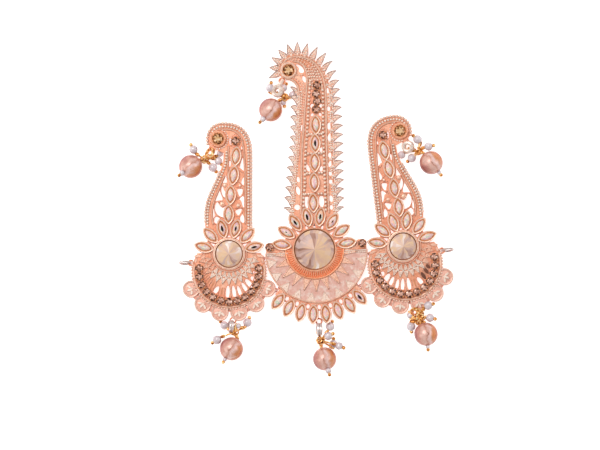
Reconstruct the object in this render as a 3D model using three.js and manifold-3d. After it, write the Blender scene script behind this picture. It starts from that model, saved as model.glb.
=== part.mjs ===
// A turban brooch (kalgi): three cast paisley plates linked side by side, set with crystals and
// hung with bead drops. Millimetres. X runs along the row of plates, Y up their arms and Z out of
// their faces. The origin is on the flat back of the middle cup, on the plane that it rests on.
import * as THREE from 'three';
import { mergeVertices } from 'three/addons/utils/BufferGeometryUtils.js';
import Module from 'manifold-3d';

const wasm = await Module();
wasm.setup();
const radians = THREE.MathUtils.degToRad;

// ---------------------------------------------------------------- driving dimensions

const GAP = 0.3; // air between separate pieces
const PLATE_BACK = 3.6; // the cups and the big beads carry the castings this high
const PLATE_FRONT = 5.2;
const BEZEL_TOP = 6.7;
const STONE_TOP = 7.3;

const MARQUISE = { halfLength: 3.6, halfWidth: 1.65, bezelWall: 0.95, floor: 4.4 };
const CHATON = { radius: 1.8, top: 6.7 };
const CURL = { stoneRadius: 2.5, cupRadius: 3.8, floor: 4.4 };

// Round pointed crystals in cups whose flat backs touch the rest plane.
const CENTRE_RIVOLI = { radius: 9.0, wall: 0.55, girdle: 5.9, point: 9.2, back: 2.0, cupFloor: 4.5 };
const SIDE_RIVOLI = { radius: 6.0, wall: 0.6, girdle: 5.9, point: 8.3, back: 2.8, cupFloor: 3.4 };

const CENTRE_FAN = { radius: 15.2, first: 9.0, step: 22.9, count: 8 };
const SIDE_FAN = { radius: 12.0, first: 15.0, step: 30.0, count: 6 };

// The enamelled half disc under the middle crystal, its fluted collar and its hem of marquises.
const HALF_DISC = { x: 0.8, y: -1.2, radius: 23.6, top: -0.9 };
const FLUTED_COLLAR = { radius: 13.8, outerTop: 5.6, innerTop: 6.9 };
const HEM = { radius: 28.75, first: -48.8, step: -11.64, count: 8 };
const HEM_BAND = { inner: 23.0, outer: 27.0, halfAngle: 45.0 };

// The middle arm. Outline points run up the right side, over the head and down the left side.
const ARM_FOOT = [[-10.4, 13], [11.8, 13]];
const ARM_RIGHT = [[10.9, 16.4], [10.3, 24], [10.0, 40], [10.3, 56], [10.6, 68], [9.9, 75.4]];
const ARM_HEAD = [[7.8, 81.6], [4.4, 86.2], [-0.2, 89.0], [-5.0, 90.1], [-9.4, 88.8], [-12.3, 85.4]];
const ARM_CURL = [[-12.8, 82.0], [-11.2, 79.2], [-7.8, 78.8], [-4.9, 77.2]];
const ARM_LEFT = [[-3.9, 72.8], [-5.2, 60], [-6.5, 46], [-8.5, 29], [-10.1, 16.8]];
const ARM_MARQUISES = [[0.3, 21.4], [1.2, 30.8], [1.8, 40.0], [2.4, 48.7], [3.0, 57.2]];
const ARM_CHATONS = [[3.5, 64.3], [4.1, 68.0], [3.8, 71.4], [4.4, 75.3]];
const ARM_CURL_STONE = [-8.4, 82.8];
const THORN_TIPS_RIGHT = [[14.4, 18.9], [15.0, 35.0], [15.5, 56.0], [14.7, 77.2]];
const THORN_TIPS_HEAD = [[13.7, 81.8], [11.0, 88.2], [3.4, 94.0], [-6.7, 95.4], [-15.7, 89.4], [-17.5, 79.7]];
const THORN_TIPS_LEFT = [[-13.4, 19.7], [-11.6, 34.1], [-9.0, 52.9], [-7.8, 75.2]];
const THORNS = { right: 15, head: 11, left: 13 };

// Openings through the castings: x, y, half length, half width, turn in degrees.
const ARM_OPENINGS = [
  [-2.6, 21.6, 2.7, 1.2, 90], [4.2, 21.7, 2.7, 1.3, 90], [-1.4, 38.4, 2.0, 0.9, 100],
  [5.0, 45.6, 1.8, 0.8, 90], [4.7, 37.8, 1.9, 0.9, 80], [-3.0, 55.0, 2.2, 0.9, 95],
  [9.0, 53.6, 2.4, 0.9, 90], [8.8, 42.0, 2.4, 0.9, 90], [8.5, 33.2, 2.4, 0.9, 90],
  [8.4, 21.4, 2.2, 0.9, 90], [-6.3, 31.0, 2.6, 0.8, 95], [-7.2, 19.9, 1.5, 1.3, 90],
  [-2.2, 83.4, 3.6, 1.5, 118],
];
const SIDE_OPENINGS = [
  [6.6, 49.0, 1.8, 1.0, 110], [5.9, 40.8, 2.0, 1.0, 95], [6.3, 33.0, 2.0, 1.0, 100],
  [4.9, 27.2, 2.4, 1.1, 120], [4.2, 20.2, 1.2, 1.0, 90], [5.9, 16.7, 2.0, 1.2, 90],
  [-4.9, 27.6, 3.4, 1.2, 70], [-2.9, 33.6, 1.9, 0.9, 80], [-4.6, 19.4, 2.8, 2.0, 120],
  [-8.2, 18.6, 2.4, 0.6, 85], [-5.6, 14.6, 1.5, 1.2, 90],
];

// The side plates, drawn for the left one about its crystal; the right one is its mirror image.
const SIDE_OUTLINE = {
  rise: [[9.9, 11.5], [9.9, 30], [9.9, 47.6]],
  head: [[9.0, 52.4], [7.0, 56.1], [3.6, 58.6], [-0.8, 59.7], [-4.6, 59.5], [-7.8, 57.8], [-9.7, 54.0]],
  curl: [[-9.6, 50.4], [-7.4, 48.0], [-4.6, 47.6]],
  fall: [[-2.4, 46.4], [-3.3, 40.4], [-6.2, 33.6], [-9.6, 25.4], [-11.2, 18.0], [-10.8, 11.5]],
};
const SIDE_MARQUISES = [[-0.2, 18.2, 90], [0.7, 27.1, 88], [2.1, 36.1, 82], [3.2, 44.9, 84]];
const SIDE_CHATON = [3.0, 52.0];
const SIDE_CURL_STONE = [-5.1, 52.9];
const MEDALLION = { y: -8.3, radius: 17.0, top: 0.4 };
const CHATON_ROW = { radius: 13.8, first: 173.0, step: 16.17, count: 13 };
const SCALLOPS = { radius: 4.0, ring: 19.1, first: 204.5, step: 26.4, count: 6 };
const COMB = { inner: 14.0, ringRadius: 12.0, first: 230.0, step: 10.0, count: 9, halfWidth: 0.8 };

// Where the loose links let the side plates lie: the crystal's place and the plate's turn.
const LEFT_PLACE = { x: -39.4, y: -0.35, turn: -2.5 };
const RIGHT_PLACE = { x: 40.7, y: -0.4, turn: 4.5 };

// Two rings link each side plate, round one line behind the edges, so that the plate folds back.
const LINKS = [[23.6, -1.6], [18.5, -16.4]]; // from the half disc's centre, mirrored on the left
const HINGE = { height: 1.6, ringRadius: 1.2, wire: 0.35, eyeHole: 0.62, eyeRadius: 1.02, eyeHalf: 0.35 };
const HINGE_POST = { from: 1.95, to: 2.9, halfWidth: 0.8 };

const TIE_LOOP = { x: -20.2, y: -4.1, radius: 2.65, wire: 0.45, lean: 14 };
const TIE_EYE = { x: -17.55, radius: 1.5, hole: 0.85, half: 0.5, height: 4.4 };

// Drops: the ring through the plate's eye, then small beads on head pins round one big bead.
const BIG_BEAD = { radius: 5.4, hole: 0.75, facets: 14, rows: 6 };
const LINK_RING = { radius: 2.1, wire: 0.38 };
const DROP_EYE = { radius: 1.6, hole: 1.05, half: 0.4, height: 4.4 };
const PIN = { wire: 0.32, ball: 0.95, hub: 1.0 };
const DROPS = [
  {
    name: 'left_curl', plate: 'left', eye: [-44.9, 48.6], away: 236, lean: 40,
    hub: [-48.6, 43.6, 3.6], bead: [-55.3, 40.6], tail: { heading: 217, rise: 40, endBead: 1.35 },
    small: [[-53.6, 48.3, 7.2, 2.0], [-45.4, 39.6, 2.4, 2.05], [-42.7, 42.6, 2.1, 1.8],
      [-42.3, 46.0, 1.6, 1.5]],
  },
  {
    name: 'centre_curl', plate: 'centre', eye: [-11.6, 78.0], away: 254, lean: 12,
    hub: [-12.6, 71.2, 3.6], bead: [-17.4, 65.0], tail: { heading: 228, rise: 28, endBead: 1.4 },
    small: [[-17.3, 74.9, 4.6, 2.0], [-9.6, 75.2, 2.2, 1.7], [-9.6, 67.6, 2.2, 1.5], [-7.4, 71.6, 2.1, 1.9]],
  },
  {
    name: 'right_curl', plate: 'right', eye: [43.9, 48.2], away: 298, lean: 40,
    hub: [48.4, 43.4, 3.6], bead: [55.3, 37.5], tail: { heading: 306, rise: 6, endBead: 0 },
    small: [[49.5, 48.5, 5.4, 2.05], [54.4, 45.0, 6.6, 1.95], [46.6, 39.6, 2.4, 2.0], [42.4, 41.6, 2.0, 1.8]],
  },
  {
    name: 'left_hem', plate: 'left', eye: [-38.9, -31.0], away: 268, lean: 30,
    hub: [-38.4, -36.0, 4.4], bead: [-40.2, -44.0], tail: { heading: 236, rise: 18, endBead: 0 },
    small: [[-43.1, -33.2, 2.3, 2.0], [-32.4, -32.4, 2.3, 2.05], [-46.6, -39.6, 4.6, 2.1],
      [-35.2, -35.0, 6.4, 1.4]],
  },
  {
    name: 'centre_hem', plate: 'centre', eye: [0.6, -33.2], away: 268, lean: 8,
    hub: [0.9, -42.0, 4.6], bead: [2.4, -50.5], tail: { heading: 285, rise: 30, endBead: 1.35 },
    small: [[5.6, -35.9, 3.0, 2.05], [4.7, -40.0, 6.6, 1.9], [7.2, -44.2, 3.2, 1.95],
      [9.8, -45.0, 6.2, 1.75]],
  },
  {
    name: 'right_hem', plate: 'right', eye: [44.8, -30.6], away: 278, lean: 25,
    hub: [46.0, -35.2, 5.0], bead: [49.5, -41.2], tail: { heading: 275, rise: 10, endBead: 0 },
    small: [[51.0, -28.0, 8.4, 2.0], [51.8, -33.6, 5.4, 1.95], [42.8, -37.4, 3.4, 2.1],
      [48.6, -31.0, 7.4, 1.3]],
  },
];

// The brooch pin on the middle plate's back: a soldered bar, its two feet and the pin wire.
const BROOCH = { y: 12.4, halfLength: 10.3, barHalf: 1.8, barThick: 0.7, footHalf: 1.1, wire: 0.45, wireZ: 1.0 };

// ---------------------------------------------------------------- shapes and solids

// A closed three.js geometry as a solid: only the positions count, with shared corners merged.
function solid(geometry) {
  const bare = geometry.clone();
  for (const name of Object.keys(bare.attributes)) if (name !== 'position') bare.deleteAttribute(name);
  const merged = mergeVertices(bare, 1e-5);
  const index = Array.from(merged.index.array);
  const triVerts = [];
  for (let i = 0; i < index.length; i += 3) {
    const [a, b, c] = index.slice(i, i + 3);
    if (a !== b && b !== c && c !== a) triVerts.push(a, b, c);
  }
  return new wasm.Manifold(new wasm.Mesh({
    numProp: 3,
    vertProperties: new Float32Array(merged.attributes.position.array),
    triVerts: new Uint32Array(triVerts),
  }));
}

function geometryOf(manifold) {
  const { vertProperties, triVerts } = manifold.getMesh();
  const geometry = new THREE.BufferGeometry();
  geometry.setAttribute('position', new THREE.BufferAttribute(vertProperties, 3));
  geometry.setIndex(new THREE.BufferAttribute(triVerts, 1));
  return geometry;
}

function join(solids) {
  return solids.reduce((whole, piece) => whole.add(piece));
}

function cut(whole, holes) {
  return holes.reduce((left, hole) => left.subtract(hole), whole);
}

// A flat outline made thick between two heights.
function slab(shape, bottom, top, curveSegments = 4) {
  const depth = top - bottom;
  const geometry = new THREE.ExtrudeGeometry(shape, { depth, bevelEnabled: false, curveSegments });
  return solid(geometry.translate(0, 0, bottom));
}

function disc(x, y, radius, bottom, top, sides = 12) {
  const geometry = new THREE.CylinderGeometry(radius, radius, top - bottom, sides);
  return solid(geometry.rotateX(Math.PI / 2).translate(x, y, (bottom + top) / 2));
}

function box(x, y, z, width, depth, height) {
  return solid(new THREE.BoxGeometry(width, depth, height).translate(x, y, z));
}

// Height and radius pairs turned about Z, starting and ending on the axis.
function turned(profile, sides) {
  const points = profile.map(([radius, height]) => new THREE.Vector2(radius, height));
  return solid(new THREE.LatheGeometry(points, sides).rotateX(Math.PI / 2));
}

function leaf(halfLength, halfWidth, x = 0, y = 0, turn = 0) {
  const along = new THREE.Vector2(halfLength, 0).rotateAround(new THREE.Vector2(), radians(turn));
  const across = new THREE.Vector2(0, 2 * halfWidth).rotateAround(new THREE.Vector2(), radians(turn));
  const shape = new THREE.Shape();
  shape.moveTo(x - along.x, y - along.y);
  shape.quadraticCurveTo(x - across.x, y - across.y, x + along.x, y + along.y);
  shape.quadraticCurveTo(x + across.x, y + across.y, x - along.x, y - along.y);
  return shape;
}

function outline(...runs) {
  const points = runs.flat().map(([x, y]) => new THREE.Vector2(x, y));
  const shape = new THREE.Shape();
  shape.moveTo(points[0].x, points[0].y);
  shape.splineThru(points.slice(1));
  return shape;
}

function openings(rows) {
  return rows.map(([x, y, length, width, turn]) => slab(leaf(length, width, x, y, turn), 0, 9, 3));
}

// ---------------------------------------------------------------- stones and their settings

function polar(radius, angle, x = 0, y = 0) {
  return [x + radius * Math.cos(radians(angle)), y + radius * Math.sin(radians(angle))];
}

function around({ radius, first, step, count }, x = 0, y = 0) {
  return Array.from({ length: count }, (_, i) => {
    const angle = first + step * i;
    return [...polar(radius, angle, x, y), angle];
  });
}

function bezel([x, y, turn]) {
  const { halfLength, halfWidth, bezelWall } = MARQUISE;
  return slab(leaf(halfLength + bezelWall * 1.2, halfWidth + bezelWall, x, y, turn), PLATE_BACK, BEZEL_TOP, 3);
}

function bezelPocket([x, y, turn]) {
  const { halfLength, halfWidth, floor } = MARQUISE;
  return slab(leaf(halfLength + 1.7 * GAP, halfWidth + GAP, x, y, turn), floor, BEZEL_TOP + 1, 3);
}

// A stone of the close-set column: its setting with the crown standing on it.
function crowned([x, y, turn]) {
  const crown = slab(leaf(MARQUISE.halfLength, MARQUISE.halfWidth, x, y, turn), PLATE_FRONT, STONE_TOP, 3);
  return bezel([x, y, turn]).add(crown);
}

function chaton(x, y) {
  return disc(x, y, CHATON.radius, PLATE_BACK, CHATON.top, 6);
}

// A marquise stone: widest at the girdle, drawn in to a flat back and a small table.
function marquiseStone() {
  const corners = leaf(1, MARQUISE.halfWidth / MARQUISE.halfLength).getPoints(3).slice(0, -1);
  const levels = [[MARQUISE.floor + GAP, 0.8], [6.0, 1.0], [STONE_TOP, 0.5]];
  const positions = levels.flatMap(([z, size]) =>
    corners.flatMap(({ x, y }) => [x * size * MARQUISE.halfLength, y * size * MARQUISE.halfLength, z]));
  const n = corners.length;
  const last = n * (levels.length - 1);
  const index = [];
  for (let level = 0; level < levels.length - 1; level++) {
    for (let i = 0; i < n; i++) {
      const [a, b] = [level * n + i, level * n + ((i + 1) % n)];
      index.push(a, b, b + n, a, b + n, a + n);
    }
  }
  for (let i = 1; i < n - 1; i++) index.push(0, i + 1, i, last, last + i, last + i + 1);
  const geometry = new THREE.BufferGeometry();
  geometry.setAttribute('position', new THREE.Float32BufferAttribute(positions, 3));
  geometry.setIndex(index);
  return geometry;
}

function cup({ radius, wall, back, cupFloor }, sides) {
  const outer = radius + GAP + wall;
  const inner = radius + GAP;
  return turned([[0, 0], [cupFloor, 0], [outer, PLATE_BACK + 0.4], [outer, BEZEL_TOP], [inner, BEZEL_TOP],
    [inner, 5.2], [0.6, back - 1.4 * GAP], [0, back - 1.4 * GAP]], sides);
}

function rivoli({ radius, girdle, point, back }, sides) {
  return turned([[0, back], [radius, girdle - 0.4], [radius, girdle], [0, point]], sides);
}

function curlStone() {
  const { stoneRadius, floor } = CURL;
  return turned([[0, floor + GAP], [stoneRadius * 0.8, floor + GAP], [stoneRadius, 6.1],
    [stoneRadius * 0.6, STONE_TOP], [0, STONE_TOP]], 12);
}

function curlCup([x, y]) {
  return disc(x, y, CURL.cupRadius, PLATE_BACK, BEZEL_TOP, 14);
}

function curlPocket([x, y]) {
  return disc(x, y, CURL.stoneRadius + 1.3 * GAP, CURL.floor, BEZEL_TOP + 1, 12);
}

// ---------------------------------------------------------------- links, eyes and drops

// Link places of one side, and the unit vector across the fold line towards the middle plate.
function linkLine(side) {
  const [upper, lower] = LINKS.map(([x, y]) => new THREE.Vector2(HALF_DISC.x + side * x, HALF_DISC.y + y));
  const along = lower.clone().sub(upper).normalize();
  const inward = new THREE.Vector2(-along.y, along.x).multiplyScalar(-side * Math.sign(-along.y));
  return { places: [upper, lower], along, inward };
}

// A flat eye under a plate's edge, on a post down from the plate. Towards is +1 for the middle plate.
function hingeEyes(side, towards) {
  const { places, inward } = linkLine(side);
  const across = inward.clone().multiplyScalar(towards);
  const turn = Math.atan2(across.y, across.x);
  const { height, ringRadius, eyeHole, eyeRadius, eyeHalf } = HINGE;
  return places.map((place) => {
    const eye = place.clone().addScaledVector(across, ringRadius);
    const middle = (HINGE_POST.from + HINGE_POST.to) / 2;
    const post = new THREE.BoxGeometry(HINGE_POST.to - HINGE_POST.from, 2 * HINGE_POST.halfWidth,
      PLATE_BACK + 0.6 - (height - eyeHalf));
    post.rotateZ(turn).translate(place.x + across.x * middle, place.y + across.y * middle,
      (PLATE_BACK + 0.6 + height - eyeHalf) / 2);
    const ring = disc(eye.x, eye.y, eyeRadius, height - eyeHalf, height + eyeHalf, 12);
    return { body: ring.add(solid(post)), hole: disc(eye.x, eye.y, eyeHole, 0, height + eyeHalf + 0.2, 12) };
  });
}

function hingeRing(place, along) {
  const ring = new THREE.TorusGeometry(HINGE.ringRadius, HINGE.wire, 6, 14);
  ring.rotateX(Math.PI / 2).rotateZ(Math.atan2(along.y, along.x) + Math.PI / 2);
  return solid(ring.translate(place.x, place.y, HINGE.height));
}

function eyeLug([x, y], { radius, hole, half, height }) {
  return {
    body: disc(x, y, radius, height - half, height + half, 12),
    hole: disc(x, y, hole, 0, 9, 10),
  };
}

function rod(from, to, radius, sides = 4) {
  const line = new THREE.Vector3().subVectors(to, from);
  const geometry = new THREE.CylinderGeometry(radius, radius, line.length(), sides);
  const turn = new THREE.Quaternion().setFromUnitVectors(new THREE.Vector3(0, 1, 0), line.clone().normalize());
  const middle = from.clone().add(to).multiplyScalar(0.5);
  return solid(geometry.applyQuaternion(turn).translate(middle.x, middle.y, middle.z));
}

function ball(centre, radius) {
  return solid(new THREE.IcosahedronGeometry(radius).translate(centre.x, centre.y, centre.z));
}

function smallBead(centre, radius) {
  return solid(new THREE.SphereGeometry(radius, 7, 4).translate(centre.x, centre.y, centre.z));
}

// The line of a drop's head pin through its big bead, outwards.
function tailLine({ bead, tail }) {
  const centre = new THREE.Vector3(bead[0], bead[1], BIG_BEAD.radius);
  const flat = Math.cos(radians(tail.rise));
  const [x, y] = polar(flat, tail.heading);
  return { centre, out: new THREE.Vector3(x, y, Math.sin(radians(tail.rise))) };
}

function bigBead(drop) {
  const { radius, hole, facets, rows } = BIG_BEAD;
  const end = Math.sqrt(radius ** 2 - hole ** 2);
  const profile = [];
  const from = Math.asin(hole / radius);
  for (let i = 0; i <= rows; i++) {
    const angle = from + ((Math.PI - 2 * from) * i) / rows;
    profile.push(new THREE.Vector2(radius * Math.sin(angle), -radius * Math.cos(angle)));
  }
  profile.push(new THREE.Vector2(hole, end), new THREE.Vector2(hole, -end), profile[0].clone());
  const { centre, out } = tailLine(drop);
  const turn = new THREE.Quaternion().setFromUnitVectors(new THREE.Vector3(0, 1, 0), out);
  const geometry = new THREE.LatheGeometry(profile, facets).applyQuaternion(turn);
  return solid(geometry.translate(centre.x, centre.y, centre.z));
}

// One drop's ring, pins and small beads as one solid, strung out from the hub where the pins meet.
function findings(drop) {
  const hub = new THREE.Vector3(...drop.hub);
  const { centre, out } = tailLine(drop);
  const [dx, dy] = polar(LINK_RING.radius, drop.away);
  const ring = new THREE.TorusGeometry(LINK_RING.radius, LINK_RING.wire, 4, 12);
  ring.rotateX(radians(90 - drop.lean)).rotateZ(radians(drop.away));
  ring.translate(drop.eye[0] + dx, drop.eye[1] + dy, DROP_EYE.height);
  const farEnd = new THREE.Vector3(drop.eye[0] + 2 * dx, drop.eye[1] + 2 * dy, DROP_EYE.height);
  const mouth = centre.clone().addScaledVector(out, -BIG_BEAD.radius - 0.5);
  const reach = BIG_BEAD.radius + 2 * drop.tail.endBead + PIN.ball;
  const tip = centre.clone().addScaledVector(out, reach);
  const parts = [solid(ring), rod(farEnd, hub, PIN.wire * 1.6), ball(hub, PIN.hub),
    rod(hub, mouth, PIN.wire * 1.6), rod(mouth, tip, PIN.wire), ball(tip, PIN.ball)];
  if (drop.tail.endBead > 0) {
    const place = centre.clone().addScaledVector(out, BIG_BEAD.radius + drop.tail.endBead);
    parts.push(smallBead(place, drop.tail.endBead));
  }
  for (const [x, y, z, radius] of drop.small) {
    const place = new THREE.Vector3(x, y, z);
    const end = place.clone().sub(hub).normalize().multiplyScalar(radius + PIN.ball * 0.5).add(place);
    parts.push(smallBead(place, radius), rod(hub, end, PIN.wire), ball(end, PIN.ball * 0.85));
  }
  return join(parts);
}

// ---------------------------------------------------------------- the castings

// The points of an edge that carries curved thorns: each thorn stands on one equal step of the edge,
// its tip on one equal step of the line of tips, with its back hollowed.
function thornedEdge(edge, tips, count) {
  const curve = (rows) => new THREE.SplineCurve(rows.map(([x, y]) => new THREE.Vector2(x, y)));
  const foot = curve(edge).getSpacedPoints(count);
  const points = curve(tips).getSpacedPoints(count - 1).flatMap((tip, i) => {
    const [low, high] = [foot[i], foot[i + 1]];
    const inward = low.clone().add(high).multiplyScalar(0.5).sub(tip).normalize();
    return [low, tip, high.clone().lerp(tip, 0.5).addScaledVector(inward, 0.5)];
  });
  return [...points, foot[count]];
}

function armShape() {
  const right = thornedEdge(ARM_RIGHT, THORN_TIPS_RIGHT, THORNS.right);
  const headEdge = [ARM_RIGHT.at(-1), ...ARM_HEAD, ...ARM_CURL.slice(0, 2)];
  const head = thornedEdge(headEdge, THORN_TIPS_HEAD, THORNS.head);
  const left = thornedEdge(ARM_LEFT.toReversed(), THORN_TIPS_LEFT, THORNS.left);
  const plain = (rows) => rows.map(([x, y]) => new THREE.Vector2(x, y));
  return new THREE.Shape([...right, ...head.slice(1), ...plain(ARM_CURL.slice(2)), ...left.reverse(),
    ...plain(ARM_FOOT)]);
}

function halfDisc({ x, y, radius, top }, sides) {
  const whole = disc(x, y, radius, PLATE_BACK, PLATE_FRONT, sides);
  return whole.subtract(box(x, top + radius, PLATE_BACK, 3 * radius, 2 * radius, 9));
}

function flutedCollar() {
  const { radius, outerTop, innerTop } = FLUTED_COLLAR;
  const profile = [[0, PLATE_BACK], [radius, PLATE_BACK], [radius, outerTop], [9.5, innerTop], [0, innerTop]];
  return turned(profile, 28).subtract(box(0, radius - 1, PLATE_BACK, 3 * radius, 2 * radius, 9));
}

function hemBand() {
  const { inner, outer, halfAngle } = HEM_BAND;
  const shape = new THREE.Shape();
  const [start, end] = [radians(270 - halfAngle), radians(270 + halfAngle)];
  shape.absarc(HALF_DISC.x, HALF_DISC.y, outer, start, end, false);
  shape.absarc(HALF_DISC.x, HALF_DISC.y, inner, end, start, true);
  return slab(shape, PLATE_BACK, PLATE_FRONT, 14);
}

function rivoliPocket({ radius, back }, sides) {
  const bottom = back - 1.4 * GAP;
  const wall = radius + GAP;
  return turned([[0, bottom], [0.6, bottom], [wall, 5.2], [wall, 20], [0, 20]], sides);
}

function centrePlate() {
  const lugs = DROPS.filter((drop) => drop.plate === 'centre').map((drop) => eyeLug(drop.eye, DROP_EYE));
  const eyes = [...hingeEyes(-1, 1), ...hingeEyes(1, 1), ...lugs];
  const settings = [...around(CENTRE_FAN), ...around(HEM, HALF_DISC.x, HALF_DISC.y)];
  const tabs = LINKS.slice(0, 1).flatMap(([x, y]) => [-1, 1].map((side) =>
    disc(HALF_DISC.x + side * (x - 2.2), HALF_DISC.y + y + 4.4, 2.0, PLATE_BACK, CHATON.top, 8)));
  const body = join([
    slab(armShape(), PLATE_BACK, PLATE_FRONT),
    disc(0, 0, CENTRE_FAN.radius + 1.2, PLATE_BACK, PLATE_FRONT, 28),
    halfDisc(HALF_DISC, 40), flutedCollar(), hemBand(),
    box(HALF_DISC.x, 0.4, (PLATE_BACK + PLATE_FRONT) / 2, 43, 4.6, PLATE_FRONT - PLATE_BACK),
    cup(CENTRE_RIVOLI, 24), curlCup(ARM_CURL_STONE),
    ...settings.map(bezel), ...ARM_MARQUISES.map(([x, y]) => crowned([x, y, 90])),
    ...ARM_CHATONS.map(([x, y]) => chaton(x, y)),
    ...tabs, ...eyes.map(({ body: eye }) => eye),
  ]);
  return cut(body, [rivoliPocket(CENTRE_RIVOLI, 24), curlPocket(ARM_CURL_STONE), ...settings.map(bezelPocket),
    ...openings(ARM_OPENINGS), ...eyes.map(({ hole }) => hole)]);
}

// Leaf openings that point at the crystal, from the zigzag band out to the row of chatons.
function combOpenings() {
  const { inner, ringRadius, first, step, count, halfWidth } = COMB;
  return Array.from({ length: count }, (_, i) => {
    const angle = first + step * i;
    const reach = MEDALLION.y * Math.sin(radians(angle));
    const outer = reach + Math.sqrt(reach ** 2 - MEDALLION.y ** 2 + ringRadius ** 2);
    return slab(leaf((outer - inner) / 2, halfWidth, ...polar((outer + inner) / 2, angle), angle), 0, 9, 2);
  });
}

// A side plate about its own crystal. Side is -1 for the left plate and 1 for its mirror image.
function sidePlate(side, place) {
  const own = (manifold) => manifold.translate([-place.x, -place.y, 0]).rotate([0, 0, -place.turn]);
  const lugs = DROPS.filter((drop) => drop.plate === (side < 0 ? 'left' : 'right'))
    .map((drop) => eyeLug(drop.eye, DROP_EYE));
  const linked = [...hingeEyes(side, -1), ...lugs]
    .map(({ body, hole }) => ({ body: own(body), hole: own(hole) }));
  const tie = eyeLug([TIE_EYE.x, TIE_LOOP.y], TIE_EYE);
  const { rise, head, curl, fall } = SIDE_OUTLINE;
  const drawn = join([
    slab(outline(rise, head, curl, fall), PLATE_BACK, PLATE_FRONT, 2),
    disc(0, 0, SIDE_FAN.radius + 1.2, PLATE_BACK, PLATE_FRONT, 24),
    halfDisc({ x: 0, ...MEDALLION }, 36),
    turned([[0, PLATE_BACK], [9.4, PLATE_BACK], [9.4, PLATE_FRONT], [6.8, 6.2], [0, 6.2]], 24),
    cup(SIDE_RIVOLI, 20), curlCup(SIDE_CURL_STONE), chaton(...SIDE_CHATON), tie.body,
    ...around({ ...SCALLOPS, radius: SCALLOPS.ring }, 0, MEDALLION.y)
      .map(([x, y]) => disc(x, y, SCALLOPS.radius, PLATE_BACK, PLATE_FRONT + 0.4, 12)),
    ...around(CHATON_ROW, 0, MEDALLION.y).map(([x, y]) => chaton(x, y)),
    ...around(SIDE_FAN).map(bezel), ...SIDE_MARQUISES.map(crowned),
  ]);
  const holed = cut(drawn, [rivoliPocket(SIDE_RIVOLI, 20), curlPocket(SIDE_CURL_STONE), tie.hole,
    ...around(SIDE_FAN).map(bezelPocket), ...openings(SIDE_OPENINGS), ...combOpenings()]);
  const faced = side < 0 ? holed : holed.mirror([1, 0, 0]);
  const eyed = join([faced, ...linked.map(({ body }) => body)]);
  return cut(eyed, linked.map(({ hole }) => hole));
}

function tieLoop() {
  const loop = new THREE.TorusGeometry(TIE_LOOP.radius, TIE_LOOP.wire, 6, 16);
  loop.rotateX(radians(90 - TIE_LOOP.lean));
  return loop.translate(TIE_LOOP.x, TIE_LOOP.y, TIE_EYE.height);
}

function broochPin() {
  const { y, halfLength, barHalf, barThick, footHalf, wire, wireZ } = BROOCH;
  const barTop = PLATE_BACK - GAP;
  const bar = box(0, y, barTop - barThick / 2, 2 * halfLength, 2 * barHalf, barThick);
  const feet = [-1, 1].map((end) =>
    box(end * (halfLength - footHalf), y, barTop / 2, 2 * footHalf, 2 * barHalf, barTop));
  const wireRod = rod(new THREE.Vector3(-halfLength + footHalf, y, wireZ),
    new THREE.Vector3(halfLength - footHalf, y, wireZ), wire, 8);
  return join([bar, ...feet, wireRod]);
}

// ---------------------------------------------------------------- materials and assembly

const plating = new THREE.MeshStandardMaterial({ color: 0xe6a583, metalness: 0.75, roughness: 0.38 });
const champagne = new THREE.MeshStandardMaterial({ color: 0xd9c2ab, metalness: 0.2, roughness: 0.05 });
const smoky = new THREE.MeshStandardMaterial({ color: 0x8d6a50, metalness: 0.3, roughness: 0.1 });
const opal = new THREE.MeshStandardMaterial({ color: 0xe9e2ee, metalness: 0.1, roughness: 0.08 });
const lustre = new THREE.MeshStandardMaterial({ color: 0xd39d8b, metalness: 0.1, roughness: 0.12 });
const gold = new THREE.MeshStandardMaterial({ color: 0xc88c3c, metalness: 0.9, roughness: 0.25 });
const paleMetal = new THREE.MeshStandardMaterial({ color: 0xd8cfd2, metalness: 0.9, roughness: 0.25 });

const brooch = new THREE.Group();

function add(parent, name, geometry, material, x = 0, y = 0, turn = 0) {
  const mesh = new THREE.Mesh(geometry, material);
  mesh.name = name;
  mesh.position.set(x, y, 0);
  mesh.rotation.z = radians(turn);
  parent.add(mesh);
}

function addStones(parent, name, places) {
  places.forEach(([x, y, turn], i) => add(parent, `${name}_${i + 1}`, marquiseStone(), opal, x, y, turn));
}

add(brooch, 'centre_plate', geometryOf(centrePlate()), plating);
add(brooch, 'centre_rivoli', geometryOf(rivoli(CENTRE_RIVOLI, 24)), champagne);
add(brooch, 'centre_curl_stone', geometryOf(curlStone()), smoky, ...ARM_CURL_STONE);
addStones(brooch, 'centre_fan_stone', around(CENTRE_FAN));
addStones(brooch, 'centre_hem_stone', around(HEM, HALF_DISC.x, HALF_DISC.y));
add(brooch, 'brooch_pin', geometryOf(broochPin()), paleMetal);

for (const [side, word, place] of [[-1, 'left', LEFT_PLACE], [1, 'right', RIGHT_PLACE]]) {
  const plate = new THREE.Group();
  plate.position.set(place.x, place.y, 0);
  plate.rotation.z = radians(place.turn);
  brooch.add(plate);
  add(plate, `${word}_plate`, geometryOf(sidePlate(side, place)), plating);
  add(plate, `${word}_rivoli`, geometryOf(rivoli(SIDE_RIVOLI, 20)), champagne);
  const [curlX, curlY] = SIDE_CURL_STONE;
  add(plate, `${word}_curl_stone`, geometryOf(curlStone()), smoky, -side * curlX, curlY);
  addStones(plate, `${word}_fan_stone`, around(SIDE_FAN));
  const loop = tieLoop();
  if (side > 0) loop.translate(-2 * TIE_LOOP.x, 0, 0);
  add(plate, `${word}_tie_loop`, loop, paleMetal);
  const { places, along } = linkLine(side);
  places.forEach((at, i) =>
    add(brooch, `${word}_hinge_ring_${i + 1}`, geometryOf(hingeRing(at, along)), gold));
}

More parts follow.
